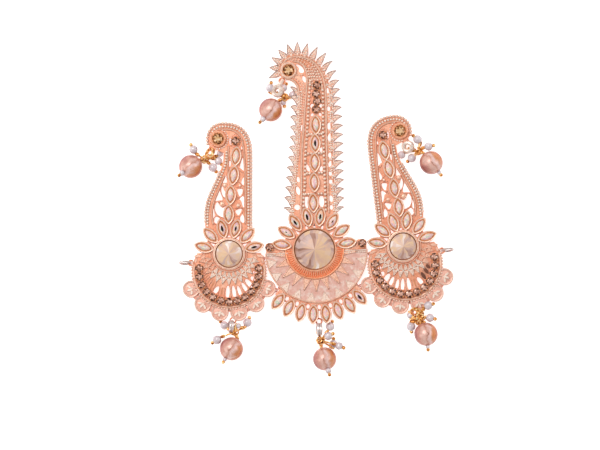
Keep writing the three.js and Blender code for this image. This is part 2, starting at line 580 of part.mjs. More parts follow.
for (const drop of DROPS) {
  add(brooch, `${drop.name}_bead`, geometryOf(bigBead(drop)), lustre);
  add(brooch, `${drop.name}_findings`, geometryOf(findings(drop)), gold);
}

export default brooch;
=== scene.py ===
import math
import random

import bpy
import numpy as np
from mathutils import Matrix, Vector
from mathutils.geometry import delaunay_2d_cdt


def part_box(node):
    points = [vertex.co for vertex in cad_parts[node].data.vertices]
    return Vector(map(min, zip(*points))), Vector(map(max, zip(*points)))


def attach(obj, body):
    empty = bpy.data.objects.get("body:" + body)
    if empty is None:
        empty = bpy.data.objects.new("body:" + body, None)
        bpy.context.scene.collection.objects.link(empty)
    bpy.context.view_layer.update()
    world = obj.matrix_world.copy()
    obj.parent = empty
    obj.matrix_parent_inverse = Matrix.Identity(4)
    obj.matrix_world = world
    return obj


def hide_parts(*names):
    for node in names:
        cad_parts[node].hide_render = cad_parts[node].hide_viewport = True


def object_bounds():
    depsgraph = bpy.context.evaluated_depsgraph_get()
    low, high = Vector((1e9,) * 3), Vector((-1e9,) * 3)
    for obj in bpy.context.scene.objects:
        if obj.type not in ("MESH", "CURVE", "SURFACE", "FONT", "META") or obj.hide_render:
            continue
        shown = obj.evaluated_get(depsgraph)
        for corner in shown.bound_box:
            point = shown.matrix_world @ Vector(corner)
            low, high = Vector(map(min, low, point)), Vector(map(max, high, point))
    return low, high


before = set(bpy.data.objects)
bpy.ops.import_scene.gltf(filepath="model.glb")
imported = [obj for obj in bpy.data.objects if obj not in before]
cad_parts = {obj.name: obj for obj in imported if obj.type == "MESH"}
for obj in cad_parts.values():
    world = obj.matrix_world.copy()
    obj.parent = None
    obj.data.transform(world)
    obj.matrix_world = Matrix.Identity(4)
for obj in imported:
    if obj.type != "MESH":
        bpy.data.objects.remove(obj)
cad_low, cad_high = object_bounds()

# ---------------------------------------------------------------------------------------------
# The camera stands straight over the brooch, which lies a little turned on the paper. It is far
# off with a long lens, so that the plates' depth hardly shows.
VIEW_CENTRE = (-0.0062, 0.0115)
VIEW_WIDTH = 0.276
PLATE_FACE = 0.005
CAMERA_HEIGHT = 1.4
BROOCH_TURN = 2.5
SENSOR_WIDTH = 36

lens = bpy.data.cameras.new("overhead")
lens.sensor_width = SENSOR_WIDTH
lens.lens = SENSOR_WIDTH * (CAMERA_HEIGHT - PLATE_FACE) / VIEW_WIDTH
camera = bpy.data.objects.new("overhead", lens)
camera.location = (*VIEW_CENTRE, CAMERA_HEIGHT)
camera.rotation_euler = (0, 0, math.radians(-BROOCH_TURN))
bpy.context.scene.collection.objects.link(camera)
bpy.context.scene.camera = camera

# ---------------------------------------------------------------------------------------------
# The floor of the middle plate's arm: zinc alloy cast about 1.5 mm thick with small windows, then
# plated in peach rose gold. Its colour is painted by height: warm orange low in the hollows as
# painted shade, near cream on the highest rims as painted highlight. Everything on the arm stands on
# this floor. Lengths are in millimetres, as on the CAD.
MILLIMETRE = 0.001
PLATE_BACK = 3.6
FLOOR_TOP = 5.0
# Castings that overlap end a step apart at the back, so that no two faces lie in one plane.
BACK_STEP = 0.015
ARM_FOOT = [(-10.4, 13), (11.8, 13)]
ARM_RIGHT = [(10.9, 16.4), (10.3, 24), (10.0, 40), (10.3, 56), (10.6, 68), (9.9, 75.4)]
ARM_HEAD = [(7.8, 81.6), (4.4, 86.2), (-0.2, 89.0), (-5.0, 90.1), (-9.4, 88.8), (-12.3, 85.4)]
ARM_CURL = [(-12.8, 82.0), (-11.2, 79.2), (-7.8, 78.8), (-4.9, 77.2)]
ARM_LEFT = [(-3.9, 72.8), (-5.2, 60), (-6.5, 46), (-8.5, 29), (-10.1, 16.8)]
# Windows: x, y, half length, half width, turn in degrees.
ARM_WINDOWS = [(-2.6, 22.0, 2.9, 0.95, 90), (4.2, 22.0, 2.9, 1.05, 90), (-1.5, 37.6, 1.8, 0.65, 112),
               (4.7, 36.9, 1.3, 0.62, 75), (5.0, 45.7, 1.1, 0.62, 80), (9.2, 51.3, 1.8, 0.8, 78),
               (9.0, 43.0, 1.25, 0.75, 90), (8.9, 39.0, 1.5, 0.7, 66), (8.7, 34.5, 0.95, 0.8, 90),
               (8.8, 30.8, 0.95, 0.85, 90), (8.6, 23.0, 1.5, 0.75, 95), (8.6, 19.0, 1.1, 0.65, 90),
               (-6.1, 32.4, 1.3, 0.6, 95), (-6.4, 27.3, 2.0, 0.8, 100), (-7.1, 19.7, 1.25, 1.2, 90),
               (9.2, 56.4, 1.7, 0.8, 84), (-2.9, 55.7, 1.9, 0.85, 97), (9.3, 64.4, 1.1, 0.7, 90),
               (9.2, 72.7, 1.2, 0.7, 90), (1.8, 66.0, 1.0, 0.75, 60), (5.6, 66.0, 1.0, 0.75, 120),
               (1.6, 61.9, 0.8, 0.5, 60), (5.3, 61.9, 0.8, 0.5, 120), (-1.3, 78.4, 1.6, 0.75, 108)]
HEAD_WINDOW = [(-4.9, 85.4), (-3.6, 83.6), (-3.6, 82.0), (-2.5, 81.3), (-1.4, 81.8), (-1.6, 83.3),
               (-2.9, 84.8)]


def smooth_line(points, spacing=0.6, count=0, closed=False):
    """Evenly spaced points on a smooth line through the given ones."""
    given = np.array(points, float)
    last = len(given) - 1
    spans = last + 1 if closed else last
    near = (lambda i: given[i % (last + 1)]) if closed else (lambda i: given[min(max(i, 0), last)])
    fine = []
    for i in range(spans):
        a, b, c, d = near(i - 1), near(i), near(i + 1), near(i + 2)
        for t in np.arange(0, 1, 0.05):
            fine.append(0.5 * (2 * b + (c - a) * t + (2 * a - 5 * b + 4 * c - d) * t**2
                               + (3 * b - a - 3 * c + d) * t**3))
    fine = np.array(fine + [near(spans)])
    run = np.concatenate([[0], np.cumsum(np.linalg.norm(np.diff(fine, axis=0), axis=1))])
    count = count or max(2, round(run[-1] / spacing))
    at = np.linspace(0, run[-1], count + 1)
    line = np.stack([np.interp(at, run, fine[:, k]) for k in range(fine.shape[1])], axis=1)
    return line[:-1] if closed else line


def leaf(half_length, half_width, x=0, y=0, turn=0, count=24, point=1.55):
    """A closed leaf outline, anticlockwise. Point is 1 for an oval and 2 for two crossing arcs."""
    t = np.arange(count) * 2 * math.pi / count
    flat = np.stack([half_length * np.cos(t), half_width * np.sign(np.sin(t)) * np.abs(np.sin(t)) ** point],
                    axis=1)
    c, s = math.cos(math.radians(turn)), math.sin(math.radians(turn))
    return flat @ np.array([[c, s], [-s, c]]) + (x, y)


def inset(loop, distance):
    """A closed outline moved to its left, which is into the metal."""
    ahead = np.roll(loop, -1, 0) - loop
    ahead /= np.linalg.norm(ahead, axis=1, keepdims=True) + 1e-9
    left = np.stack([-ahead[:, 1], ahead[:, 0]], axis=1)
    both = left + np.roll(left, 1, 0)
    square = np.maximum((both**2).sum(1, keepdims=True), 1.0)
    return loop + both * 2 * distance / square


def turning(loop):
    """The signed area of a closed outline: above 0 if it runs anticlockwise."""
    x, y = np.array(loop).T
    return 0.5 * float(np.sum(x * np.roll(y, -1) - y * np.roll(x, -1)))


def at_height(loop, z):
    """A flat outline lifted to a height."""
    loop = np.asarray(loop, float)
    return np.column_stack([loop, np.full(len(loop), float(z))])


def skin(rings, start=True, end=True, joined=False):
    """Faces over closed rings of equal count, each anticlockwise as seen from further along."""
    n, faces = len(rings[0]), []
    for r in range(len(rings) if joined else len(rings) - 1):
        low, high = r * n, ((r + 1) % len(rings)) * n
        faces += [(low + i, low + (i + 1) % n, high + (i + 1) % n, high + i) for i in range(n)]
    if start and not joined:
        faces.append(tuple(reversed(range(n))))
    if end and not joined:
        faces.append(tuple((len(rings) - 1) * n + i for i in range(n)))
    return np.concatenate(rings), faces


def stacked(loop, levels, start=True, end=True):
    """Faces up one outline through levels, each a height and how far the outline is drawn in there."""
    rings = [at_height(inset(loop, drawn_in) if drawn_in else loop, z) for z, drawn_in in levels]
    return skin(rings, start, end)


def inside(places, loops):
    """Which places lie in the metal: inside an odd number of the closed outlines."""
    x, y = places[:, :1], places[:, 1:]
    crossings = np.zeros(len(places), int)
    for loop in loops:
        ax, ay = loop[:, 0], loop[:, 1]
        bx, by = np.roll(ax, -1), np.roll(ay, -1)
        spans = (ay > y) != (by > y)
        run = ax + (y - ay) * (bx - ax) / np.where(by == ay, 1e-9, by - ay)
        crossings += (spans & (x < run)).sum(1)
    return crossings % 2 == 1


def filled(loops):
    """Corners and triangles that fill the metal between closed outlines."""
    edges, first = [], 0
    for loop in loops:
        edges += [(first + i, first + (i + 1) % len(loop)) for i in range(len(loop))]
        first += len(loop)
    corners = [Vector((float(x), float(y))) for loop in loops for x, y in loop]
    found, _, triangles, *_ = delaunay_2d_cdt(corners, edges, [], 0, 1e-6)
    found = np.array([tuple(corner) for corner in found])
    triangles = np.array([tuple(triangle) for triangle in triangles])
    kept = triangles[inside(found[triangles].mean(1), loops)]
    return found, [tuple(int(i) for i in triangle) for triangle in kept]


class Bench:
    """Parts of a casting drawn about one point of the brooch, gathered and made one mesh."""

    def __init__(self, x=0.0, y=0.0, turn=0.0, mirrored=False):
        self.place, self.turn, self.mirrored = (x, y), math.radians(turn), mirrored
        self.points, self.faces, self.finishes, self.facets, self.count = [], [], [], [], 0

    def add(self, points, faces, finish=0, facet=0.5):
        """More faces: finish picks the material, facet is a painted shade for each face or for all."""
        points = np.array(points, float)
        if self.mirrored:
            points[:, 0] *= -1
            faces = [face[::-1] for face in faces]
        c, s = math.cos(self.turn), math.sin(self.turn)
        x, y = points[:, 0].copy(), points[:, 1].copy()
        points[:, 0], points[:, 1] = x * c - y * s + self.place[0], x * s + y * c + self.place[1]
        self.points.append(points)
        self.faces += [tuple(i + self.count for i in face) for face in faces]
        self.finishes += [finish] * len(faces)
        self.facets += list(facet) if np.ndim(facet) else [facet] * len(faces)
        self.count += len(points)

    def sheet(self, outline, holes, bottom, top, edge=0.25):
        """A flat casting with windows through it and its upper edges rounded."""
        loops = [np.asarray(outline, float)] + [np.asarray(hole, float) for hole in holes]
        loops = [loop if (turning(loop) > 0) == (i == 0) else loop[::-1] for i, loop in enumerate(loops)]
        for loop in loops:
            levels = [(bottom, 0), (top - edge, 0), (top - edge * 0.3, edge * 0.3), (top, edge)]
            self.add(*stacked(loop, levels, start=False, end=False))
        for rims, z, facing in (([inset(loop, edge) for loop in loops], top, 1), (loops, bottom, -1)):
            corners, triangles = filled(rims)
            self.add(at_height(corners, z), [triangle[::facing] for triangle in triangles])

    def made(self, name, body, slot, finishes, *nodes, crease=35):
        """Makes the piece, rides it on its body and puts it in the place of its CAD nodes."""
        mesh = bpy.data.meshes.new(name)
        mesh.from_pydata((np.concatenate(self.points) * MILLIMETRE).tolist(), [], self.faces)
        mesh.polygons.foreach_set("material_index", self.finishes)
        facet = mesh.attributes.new("facet", "FLOAT", "FACE")
        facet.data.foreach_set("value", np.array(self.facets, np.float32))
        for finish in finishes:
            mesh.materials.append(finish)
        mesh.polygons.foreach_set("use_smooth", [crease > 0] * len(self.faces))
        mesh.update()
        if crease > 0:
            mesh.set_sharp_from_angle(angle=math.radians(crease))
        piece = bpy.data.objects.new(name, mesh)
        bpy.context.scene.collection.objects.link(piece)
        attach(piece, body)
        if nodes:
            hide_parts(*nodes)
        return piece


def node_material(name):
    """A new material, with its nodes, links and main shader."""
    material = bpy.data.materials.new(name)
    material.use_nodes = True
    nodes = material.node_tree.nodes
    return material, nodes, material.node_tree.links, nodes["Principled BSDF"]


def ramp(nodes, links, source, stops):
    """Colours by a value from 0 to 1: stops are (value, colour)."""
    node = nodes.new("ShaderNodeValToRGB")
    elements = node.color_ramp.elements
    while len(elements) < len(stops):
        elements.new(0.5)
    for element, (value, colour) in zip(elements, stops):
        element.position = value
        element.color = (*colour, 1)
    links.new(source, node.inputs["Fac"])
    return node.outputs["Color"]


def speckle(nodes, links, scale, detail=4, roughness=0.6):
    """Noise over the piece's own shape, with scale in waves to the metre."""
    place = nodes.new("ShaderNodeTexCoord")
    noise = nodes.new("ShaderNodeTexNoise")
    noise.inputs["Scale"].default_value = scale
    noise.inputs["Detail"].default_value = detail
    noise.inputs["Roughness"].default_value = roughness
    links.new(place.outputs["Object"], noise.inputs["Vector"])
    return noise.outputs["Fac"]


def spread(nodes, links, source, low, high, to_low, to_high):
    """A value moved from one range to another, and held there."""
    node = nodes.new("ShaderNodeMapRange")
    for socket, value in zip(("From Min", "From Max", "To Min", "To Max"), (low, high, to_low, to_high)):
        node.inputs[socket].default_value = value
    links.new(source, node.inputs["Value"])
    return node.outputs["Result"]


def blend(nodes, links, kind, share, first, second):
    """Two colours put together. Each of the three is a socket or a plain value."""
    node = nodes.new("ShaderNodeMix")
    node.data_type, node.blend_type = "RGBA", kind
    for socket, value in ((0, share), (6, first), (7, second)):
        if isinstance(value, bpy.types.NodeSocket):
            links.new(value, node.inputs[socket])
        else:
            node.inputs[socket].default_value = value if isinstance(value, float) else (*value, 1)
    return node.outputs[2]


def bumps(nodes, links, shader, height, strength, distance):
    """Small unevenness in a surface, from a value over it."""
    node = nodes.new("ShaderNodeBump")
    node.inputs["Strength"].default_value = strength
    node.inputs["Distance"].default_value = distance
    links.new(height, node.inputs["Height"])
    links.new(node.outputs["Normal"], shader.inputs["Normal"])


def plating(name, stops, low=0.0036, high=0.0068, metallic=0.3, rough=(0.3, 0.5)):
    """Plated metal coloured by height as painted light: shade low down, highlight up high, and small wear.
    """
    material, nodes, links, shader = node_material(name)
    place = nodes.new("ShaderNodeTexCoord")
    apart = nodes.new("ShaderNodeSeparateXYZ")
    links.new(place.outputs["Object"], apart.inputs["Vector"])
    # Painted light: the colour follows height, darker and warmer low down as painted shade, paler up high as
    # painted highlight.
    rise = spread(nodes, links, apart.outputs["Z"], low, high, 0, 1)
    clouds = speckle(nodes, links, 260)
    wear = speckle(nodes, links, 2400, detail=6)
    shifted = nodes.new("ShaderNodeMath")
    shifted.operation = "MULTIPLY_ADD"
    shifted.inputs[1].default_value = 0.35
    links.new(clouds, shifted.inputs[0])
    links.new(rise, shifted.inputs[2])
    colour = ramp(nodes, links, spread(nodes, links, shifted.outputs[0], 0.17, 1.17, 0, 1), stops)
    worn = ramp(nodes, links, wear,
                [(0.34, (0.80, 0.68, 0.62)), (0.47, (0.95, 0.92, 0.90)), (0.6, (1, 1, 1))])
    colour = blend(nodes, links, "MULTIPLY", 0.8, colour, worn)
    mottle = ramp(nodes, links, speckle(nodes, links, 950, detail=3),
                  [(0.32, (0.82, 0.60, 0.50)), (0.45, (0.97, 0.92, 0.88)), (0.56, (1, 1, 1)),
                   (0.7, (1, 1, 1))])
    links.new(blend(nodes, links, "MULTIPLY", 0.75, colour, mottle), shader.inputs["Base Color"])
    links.new(spread(nodes, links, wear, 0.3, 0.7, *rough), shader.inputs["Roughness"])
    shader.inputs["Metallic"].default_value = metallic
    bumps(nodes, links, shader, wear, 0.25, 0.00006)
    return material


peach = plating("peach_plating",
                [(0.0, (0.56, 0.16, 0.07)), (0.34, (0.80, 0.31, 0.17)), (0.44, (0.88, 0.44, 0.29)),
                 (0.6, (0.94, 0.62, 0.47)), (1.0, (0.96, 0.76, 0.64))])

arm = Bench()
arm_outline = smooth_line(ARM_FOOT[1:] + ARM_RIGHT + ARM_HEAD + ARM_CURL + ARM_LEFT + ARM_FOOT[:1], 0.7)
arm_windows = [leaf(long, wide * 1.15, x, y, turn, count=14, point=1.25)
               for x, y, long, wide, turn in ARM_WINDOWS]
arm_windows += [smooth_line(HEAD_WINDOW, 0.5, closed=True)]
arm.sheet(arm_outline, arm_windows, PLATE_BACK, FLOOR_TOP)
arm.made("centre_arm_floor", "centre", "rose_plating", [peach], "centre_plate")

# ---------------------------------------------------------------------------------------------
# The arm's raised lines, cast in one with its floor: a smooth rail down each side, a row of
# round grains inside each rail, and cross bars of grains between the marquises. Over the head
# the rows bend with the rails and fill the space between them.
RAIL = dict(width=1.05, bottom=4.8, top=6.0)
LEFT_RAIL = [(-5.6, 16.5), (-5.3, 21), (-4.9, 27), (-4.6, 33), (-4.4, 39), (-3.9, 45), (-3.2, 51),
             (-2.5, 57), (-1.8, 63), (-1.1, 69), (-0.5, 74), (0.0, 78), (-0.2, 81.5), (-1.3, 84.4),
             (-3.4, 86.2), (-6.0, 86.9)]
RIGHT_RAIL = [(7.3, 16.5), (7.3, 25), (7.5, 33), (7.5, 40), (7.6, 48), (7.8, 56), (8.0, 62), (8.2, 68),
              (8.1, 74), (7.2, 79), (5.4, 83.2), (2.6, 86.4), (-1.0, 88.3), (-5.0, 89.0), (-8.6, 88.0),
              (-11.2, 85.3), (-11.8, 82)]
CURL_LIP = [(-9.8, 78.9), (-7.6, 78.6), (-5.6, 77.2), (-4.4, 74.8), (-4.0, 71)]
EDGE_LIP = [(-8.6, 22), (-7.7, 29), (-6.9, 36), (-6.0, 44), (-5.2, 52), (-4.5, 60), (-3.7, 68), (-3.3, 72)]
LEFT_GRAINS = [(-4.2, 18.4), (-4.1, 22.5), (-3.7, 26.5), (-3.1, 30.6), (-2.9, 35), (-2.6, 40), (-2.2, 45),
               (-1.5, 50), (-0.9, 56), (-0.3, 62), (0.3, 68), (0.9, 73), (1.3, 77.6)]
RIGHT_GRAINS = [(5.9, 18.0), (6.0, 25), (6.05, 30), (6.1, 36), (6.15, 42), (6.15, 48), (6.25, 54),
                (6.5, 60), (6.8, 66), (6.9, 72), (6.3, 76.6)]
FINE_ROWS = [[(-4.6, 80.7), (-3.4, 80.3), (-2.1, 80.6)],
             [(-9.8, 79.2), (-11.6, 80.6), (-12.6, 83), (-12.2, 85.8), (-10.4, 88.2)],
             [(8.9, 76), (7.9, 80), (5.9, 84.2), (3.0, 87.4), (-0.8, 89.3), (-5.0, 90.0)],
             [(-7.2, 79.9), (-5.0, 78.6), (-3.2, 76.2), (-2.6, 72), (-2.9, 68), (-3.5, 62), (-4.2, 55),
              (-5.0, 48), (-6.0, 40)],
             [(-1.9, 76.6), (-1.6, 72), (-2.1, 67), (-2.8, 61)]]
CROSS_BARS = [(25.6, [-3.0, -1.7, -0.5, 3.0, 4.3]), (35.1, [-1.9, -0.7, 3.7, 4.9]),
              (44.2, [-1.0, 0.4, 3.9, 5.1]), (53.0, [-0.3, 0.9, 4.5, 5.5])]
GRAIN = dict(radius=0.7, spacing=1.8, height=5.5)
FINE_GRAIN = dict(radius=0.46, spacing=1.25, height=5.2)
HEAD_ROWS = 6


def rail(bench, line, width, bottom, top, sides=6, joined=False, finish=0):
    """A raised line of half-round section over a run of points."""
    line = np.asarray(line, float)
    ahead = np.roll(line, -1, 0) - np.roll(line, 1, 0) if joined else np.gradient(line, axis=0)
    ahead /= np.linalg.norm(ahead, axis=1, keepdims=True) + 1e-9
    rings = []
    for (x, y), (ax, ay) in zip(line, ahead):
        turn = np.linspace(0, math.pi, sides + 1)
        across, up = np.cos(turn) * width / 2, bottom + np.sin(turn) * (top - bottom)
        rings.append(np.stack([x - ay * across, y + ax * across, up], axis=1))
    bench.add(*skin(rings, joined=joined), finish)


def strip(bench, line, width, top, finish):
    """A flat ribbon of painted shade just over the floor, as the dark that falls beside a raised line."""
    line = np.asarray(line, float)
    ahead = np.gradient(line, axis=0)
    ahead /= np.linalg.norm(ahead, axis=1, keepdims=True) + 1e-9
    across = np.column_stack([-ahead[:, 1], ahead[:, 0]]) * width / 2
    rings = []
    for near, far in zip(line + across, line - across):
        rings.append(np.array([(*near, top - 0.3), (*far, top - 0.3), (*far, top), (*near, top)]))
    bench.add(*skin(rings), finish)


def ball(steps):
    """Points and faces of a round grain: an icosahedron split and swelled."""
    g = (1 + 5**0.5) / 2
    points = [(-1, g, 0), (1, g, 0), (-1, -g, 0), (1, -g, 0), (0, -1, g), (0, 1, g), (0, -1, -g), (0, 1, -g),
              (g, 0, -1), (g, 0, 1), (-g, 0, -1), (-g, 0, 1)]
    faces = [(0, 11, 5), (0, 5, 1), (0, 1, 7), (0, 7, 10), (0, 10, 11), (1, 5, 9), (5, 11, 4), (11, 10, 2),
             (10, 7, 6), (7, 1, 8), (3, 9, 4), (3, 4, 2), (3, 2, 6), (3, 6, 8), (3, 8, 9), (4, 9, 5),
             (2, 4, 11), (6, 2, 10), (8, 6, 7), (9, 8, 1)]
    points = [np.array(p) / np.linalg.norm(p) for p in points]
    for _ in range(steps):
        halves, split = {}, []
        for a, b, c in faces:
            mids = []
            for i, j in ((a, b), (b, c), (c, a)):
                key = (min(i, j), max(i, j))
                if key not in halves:
                    halves[key] = len(points)
                    middle = points[i] + points[j]
                    points.append(middle / np.linalg.norm(middle))
                mids.append(halves[key])
            ab, bc, ca = mids
            split += [(a, ab, ca), (b, bc, ab), (c, ca, bc), (ab, bc, ca)]
        faces = split
    return np.array(points), faces


SMALL_BALL, SMALL_BALL_FACES = ball(1)


def grain(bench, x, y, z, radius, finish=0):
    """One round grain."""
    bench.add(SMALL_BALL * radius + (x, y, z), SMALL_BALL_FACES, finish)


def grains(bench, places, radius, height, finish=0):
    """Round grains at flat places, all at one height."""
    for x, y in places:
        grain(bench, x, y, height, radius, finish)


# Painted shade: dark strips just over the floor beside the rails and rows of grains.
SHADE_STRIP_TOP = 5.05
painted_shade = plating("painted_shade_groove",
                [(0.0, (0.50, 0.17, 0.08)), (0.5, (0.66, 0.27, 0.14)), (1.0, (0.78, 0.35, 0.20))],
                metallic=0.2)
dots = plating("dotted_plating",
               [(0.0, (0.70, 0.32, 0.20)), (0.5, (0.91, 0.58, 0.44)), (1.0, (0.97, 0.80, 0.68))],
               low=0.0048, high=0.0060)
lines = Bench()
for line in (LEFT_RAIL, RIGHT_RAIL, CURL_LIP):
    strip(lines, smooth_line(line, 0.7), 1.22, SHADE_STRIP_TOP, 1)
    rail(lines, smooth_line(line, 0.7), **RAIL)
rail(lines, smooth_line(EDGE_LIP, 0.7), 0.6, 4.8, 5.6)
for line in (LEFT_GRAINS, RIGHT_GRAINS):
    strip(lines, smooth_line(line, 0.9), 1.2, SHADE_STRIP_TOP + 0.02, 1)
    grains(lines, smooth_line(line, GRAIN["spacing"]), GRAIN["radius"], GRAIN["height"], 2)
for line in FINE_ROWS:
    grains(lines, smooth_line(line, FINE_GRAIN["spacing"]), FINE_GRAIN["radius"], FINE_GRAIN["height"], 2)
inner, outer = smooth_line(LEFT_RAIL[10:], count=40), smooth_line(RIGHT_RAIL[8:15], count=40)
apart = np.linalg.norm(outer - inner, axis=1) / HEAD_ROWS
for k in range(1, HEAD_ROWS):
    line = inner + (outer - inner) * k / HEAD_ROWS
    strip(lines, line[:33], 0.5, SHADE_STRIP_TOP, 1)
    for x, y in smooth_line(line, 1.32):
        gap = apart[int(np.argmin(np.linalg.norm(line - (x, y), axis=1)))]
        if gap > 0.85 or (k % 2 and gap > 0.42):
            grain(lines, x, y, 5.3, min(0.62, max(gap, 0.75) * 0.56), 2)
for y, places in CROSS_BARS:
    left, right = min(places) - 1.0, max(places) + 1.0
    across = (left, (left + right) / 2, right)
    strip(lines, [(x, y - 0.5) for x in across], 1.6, SHADE_STRIP_TOP + 0.01, 1)
    rail(lines, [(x, y - 0.75) for x in across], 0.5, 4.8, 5.5)
    grains(lines, [(x, y) for x in places], GRAIN["radius"] * 0.92, GRAIN["height"], 2)
lines.made("centre_arm_rails", "centre", "rose_plating", [peach, painted_shade, dots], "centre_plate")

# ---------------------------------------------------------------------------------------------
# The thorns round the arm: flat curved spikes cast on the edge, each with a raised lip along both
# sides and fine grains between the lips. Their lips are rubbed to a greyish white.
THORN_TIPS_RIGHT = [(14.4, 18.9), (15.0, 35.0), (15.5, 56.0), (14.7, 77.2)]
THORN_TIPS_HEAD = [(13.7, 81.8), (11.0, 88.2), (3.4, 94.0), (-6.7, 95.4), (-15.7, 89.4), (-17.5, 79.7)]
THORN_TIPS_LEFT = [(-13.4, 19.7), (-11.6, 34.1), (-9.0, 52.9), (-7.8, 75.2)]
THORN_COUNTS = dict(right=15, head=11, left=13)
THORN_LIP = dict(width=0.5, bottom=4.6, top=5.4, sides=4, finish=1)


def bent(start, bend, end, count):
    """Points on a plain curve from start to end, drawn towards bend."""
    t = np.linspace(0, 1, count)[:, None]
    return (1 - t) ** 2 * start + 2 * t * (1 - t) * bend + t**2 * end


def thorn(bench, low, high, tip, hollow=0.3, swell=0.3):
    """One claw over a stretch of the edge: a swelling back and a hollow lower side."""
    down = low - high
    middle = (low + high) / 2
    out = (tip - middle) / np.linalg.norm(tip - middle)
    belly = bent(low + 0.35 * out, (low + tip) / 2 - hollow * down, tip, 12)
    back = bent(tip, (high + tip) / 2 - swell * down + 0.2 * out, high + 0.35 * out, 12)
    outline = np.concatenate([[low - 0.6 * out], belly, back[1:], [high - 0.6 * out]])
    if turning(outline) < 0:
        outline = outline[::-1]
    share_out = np.linalg.norm(outline - middle, axis=1) / np.linalg.norm(tip - middle)
    rise = np.clip(share_out, 0.2, 1)[:, None] * (0, 0, 0.5)
    foot = PLATE_BACK + BACK_STEP * (5 + len(bench.points) % 4)
    bench.add(*skin([at_height(outline, foot), at_height(outline, 4.4) + rise,
                     at_height(inset(outline, 0.06), 4.5) + rise]))
    rail(bench, belly[1:], **THORN_LIP)
    rail(bench, back[:-1], **THORN_LIP)
    for share in (0.12, 0.32, 0.52, 0.7):
        i = int(share * 11)
        centre = (belly[i] + back[11 - i]) / 2
        across = back[11 - i] - belly[i]
        places = [centre + across * side for side in ((-0.24, 0.24) if share < 0.5 else (0,))]
        grains(bench, places, 0.36, 4.95, 2)
    root, pointing = middle + 0.15 * out, math.degrees(math.atan2(out[1], out[0]))
    bench.add(*skin([at_height(leaf(0.7 * size, 0.6 * size, *root, pointing, 14, 1.1), z)
                     for size, z in ((1.0, 4.8), (0.9, 5.15), (0.55, 5.35))]))
    # Painted shade: a small dark leaf on the floor at the notch under the thorn.
    notch_shade = leaf(0.7, 0.34, *(low - 0.2 * out), math.degrees(math.atan2(down[1], down[0])), 12, 1.1)
    bench.add(*stacked(notch_shade, [(4.8, 0), (5.04, 0)]), 3)


thorn_plating = plating("thorn_plating",
                        [(0.0, (0.74, 0.26, 0.13)), (0.4, (0.85, 0.42, 0.28)), (0.7, (0.90, 0.62, 0.50)),
                         (1.0, (0.93, 0.77, 0.68))],
                        low=0.0041, high=0.0051)
lip_plating = plating("lip_plating",
                      [(0.0, (0.66, 0.36, 0.26)), (0.5, (0.56, 0.41, 0.37)), (1.0, (0.66, 0.57, 0.55))],
                      low=0.0044, high=0.0055)
grain_plating = plating("grain_plating",
                        [(0.0, (0.80, 0.42, 0.28)), (0.4, (0.93, 0.76, 0.64)), (1.0, (0.98, 0.93, 0.86))],
                        low=0.0046, high=0.0052)
thorns = Bench()
outer_edge = smooth_line(ARM_RIGHT + ARM_HEAD + ARM_CURL[:2], 0.1)
for edge, rows in ((outer_edge, ((THORN_TIPS_RIGHT, "right", 0.48), (THORN_TIPS_HEAD, "head", 0.08))),
                   (smooth_line(ARM_LEFT[::-1], 0.1), ((THORN_TIPS_LEFT, "left", 0.46),))):
    for tips, key, lean in rows:
        tips = smooth_line(tips, count=THORN_COUNTS[key] - 1)
        level = [int(np.argmin(np.linalg.norm(edge - tip, axis=1))) for tip in tips]
        step = (level[-1] - level[0]) / (len(level) - 1)
        for i, tip in enumerate(tips):
            lean_here = lean if key != "head" else max(lean, 0.48 - 0.14 * i)
            low, high = [min(max(round(level[i] + step * share), 0), len(edge) - 1)
                         for share in (-0.5 - lean_here, 0.5 - lean_here)]
            if high - low > 8:
                hollow, swell = (-0.12, 0.16) if lean_here < 0.3 else (0.3, 0.3)
                thorn(thorns, edge[low], edge[high], tip, hollow, swell)
window_rims = [leaf(long + 0.35, wide * 1.15 + 0.35, x, y, turn, count=14, point=1.25)
               for x, y, long, wide, turn in ARM_WINDOWS]
for edge, side in ((smooth_line(ARM_RIGHT, 0.4), 1), (smooth_line(ARM_LEFT[::-1], 0.4), -1)):
    ahead = np.gradient(edge, axis=0)
    into = np.column_stack([-ahead[:, 1], ahead[:, 0]]) / np.linalg.norm(ahead, axis=1)[:, None] * side
    for depth, spacing, size in ((0.45, 0.95, 0.4), (1.15, 1.3, 0.36)):
        places = smooth_line(edge + into * depth, spacing)
        places = places[~np.any([inside(places, [rim]) for rim in window_rims], axis=0)]
        grains(thorns, places, size, 5.1, 2)
        # Painted shade: small dark leaves just over the floor between the grains.
        for x, y in (places[:-1] + np.diff(places, axis=0) / 2)[::2]:
            if not any(inside(np.array([[x, y]]), [rim])[0] for rim in window_rims):
                thorns.add(*stacked(leaf(0.42, 0.3, x, y, 90, 10, 1.1), [(4.8, 0), (SHADE_STRIP_TOP, 0)]), 3)
thorns.made("centre_arm_thorns", "centre", "rose_plating",
            [thorn_plating, lip_plating, grain_plating, painted_shade], "centre_plate")

# ---------------------------------------------------------------------------------------------
# The marquise settings: a cast cup for each stone with a thick rolled rim, with a painted cream
# highlight on top and dark painted shade in the seam round the stone. The middle plate has a fan
# of eight round the big crystal, a hem of eight under the half disc and a column of five up the arm.
MARQUISE = dict(half_length=3.6, half_width=1.65)
FAN_FIRST, FAN_STEP = 9.0, 22.9
HEM_FIRST, HEM_STEP = -48.8, -11.64
ARM_MARQUISES = [(0.3, 21.4), (1.2, 30.8), (1.8, 40.0), (2.4, 48.7), (3.0, 57.2)]
RIM_PROFILE = [(1.02, 5.0), (0.98, 5.7), (0.9, 6.25), (0.72, 6.5), (0.46, 6.45), (0.27, 6.25)]
SEAM_PROFILE = [(0.27, 6.25), (0.1, 6.2), (-0.14, 6.15), (-0.2, 5.4)]


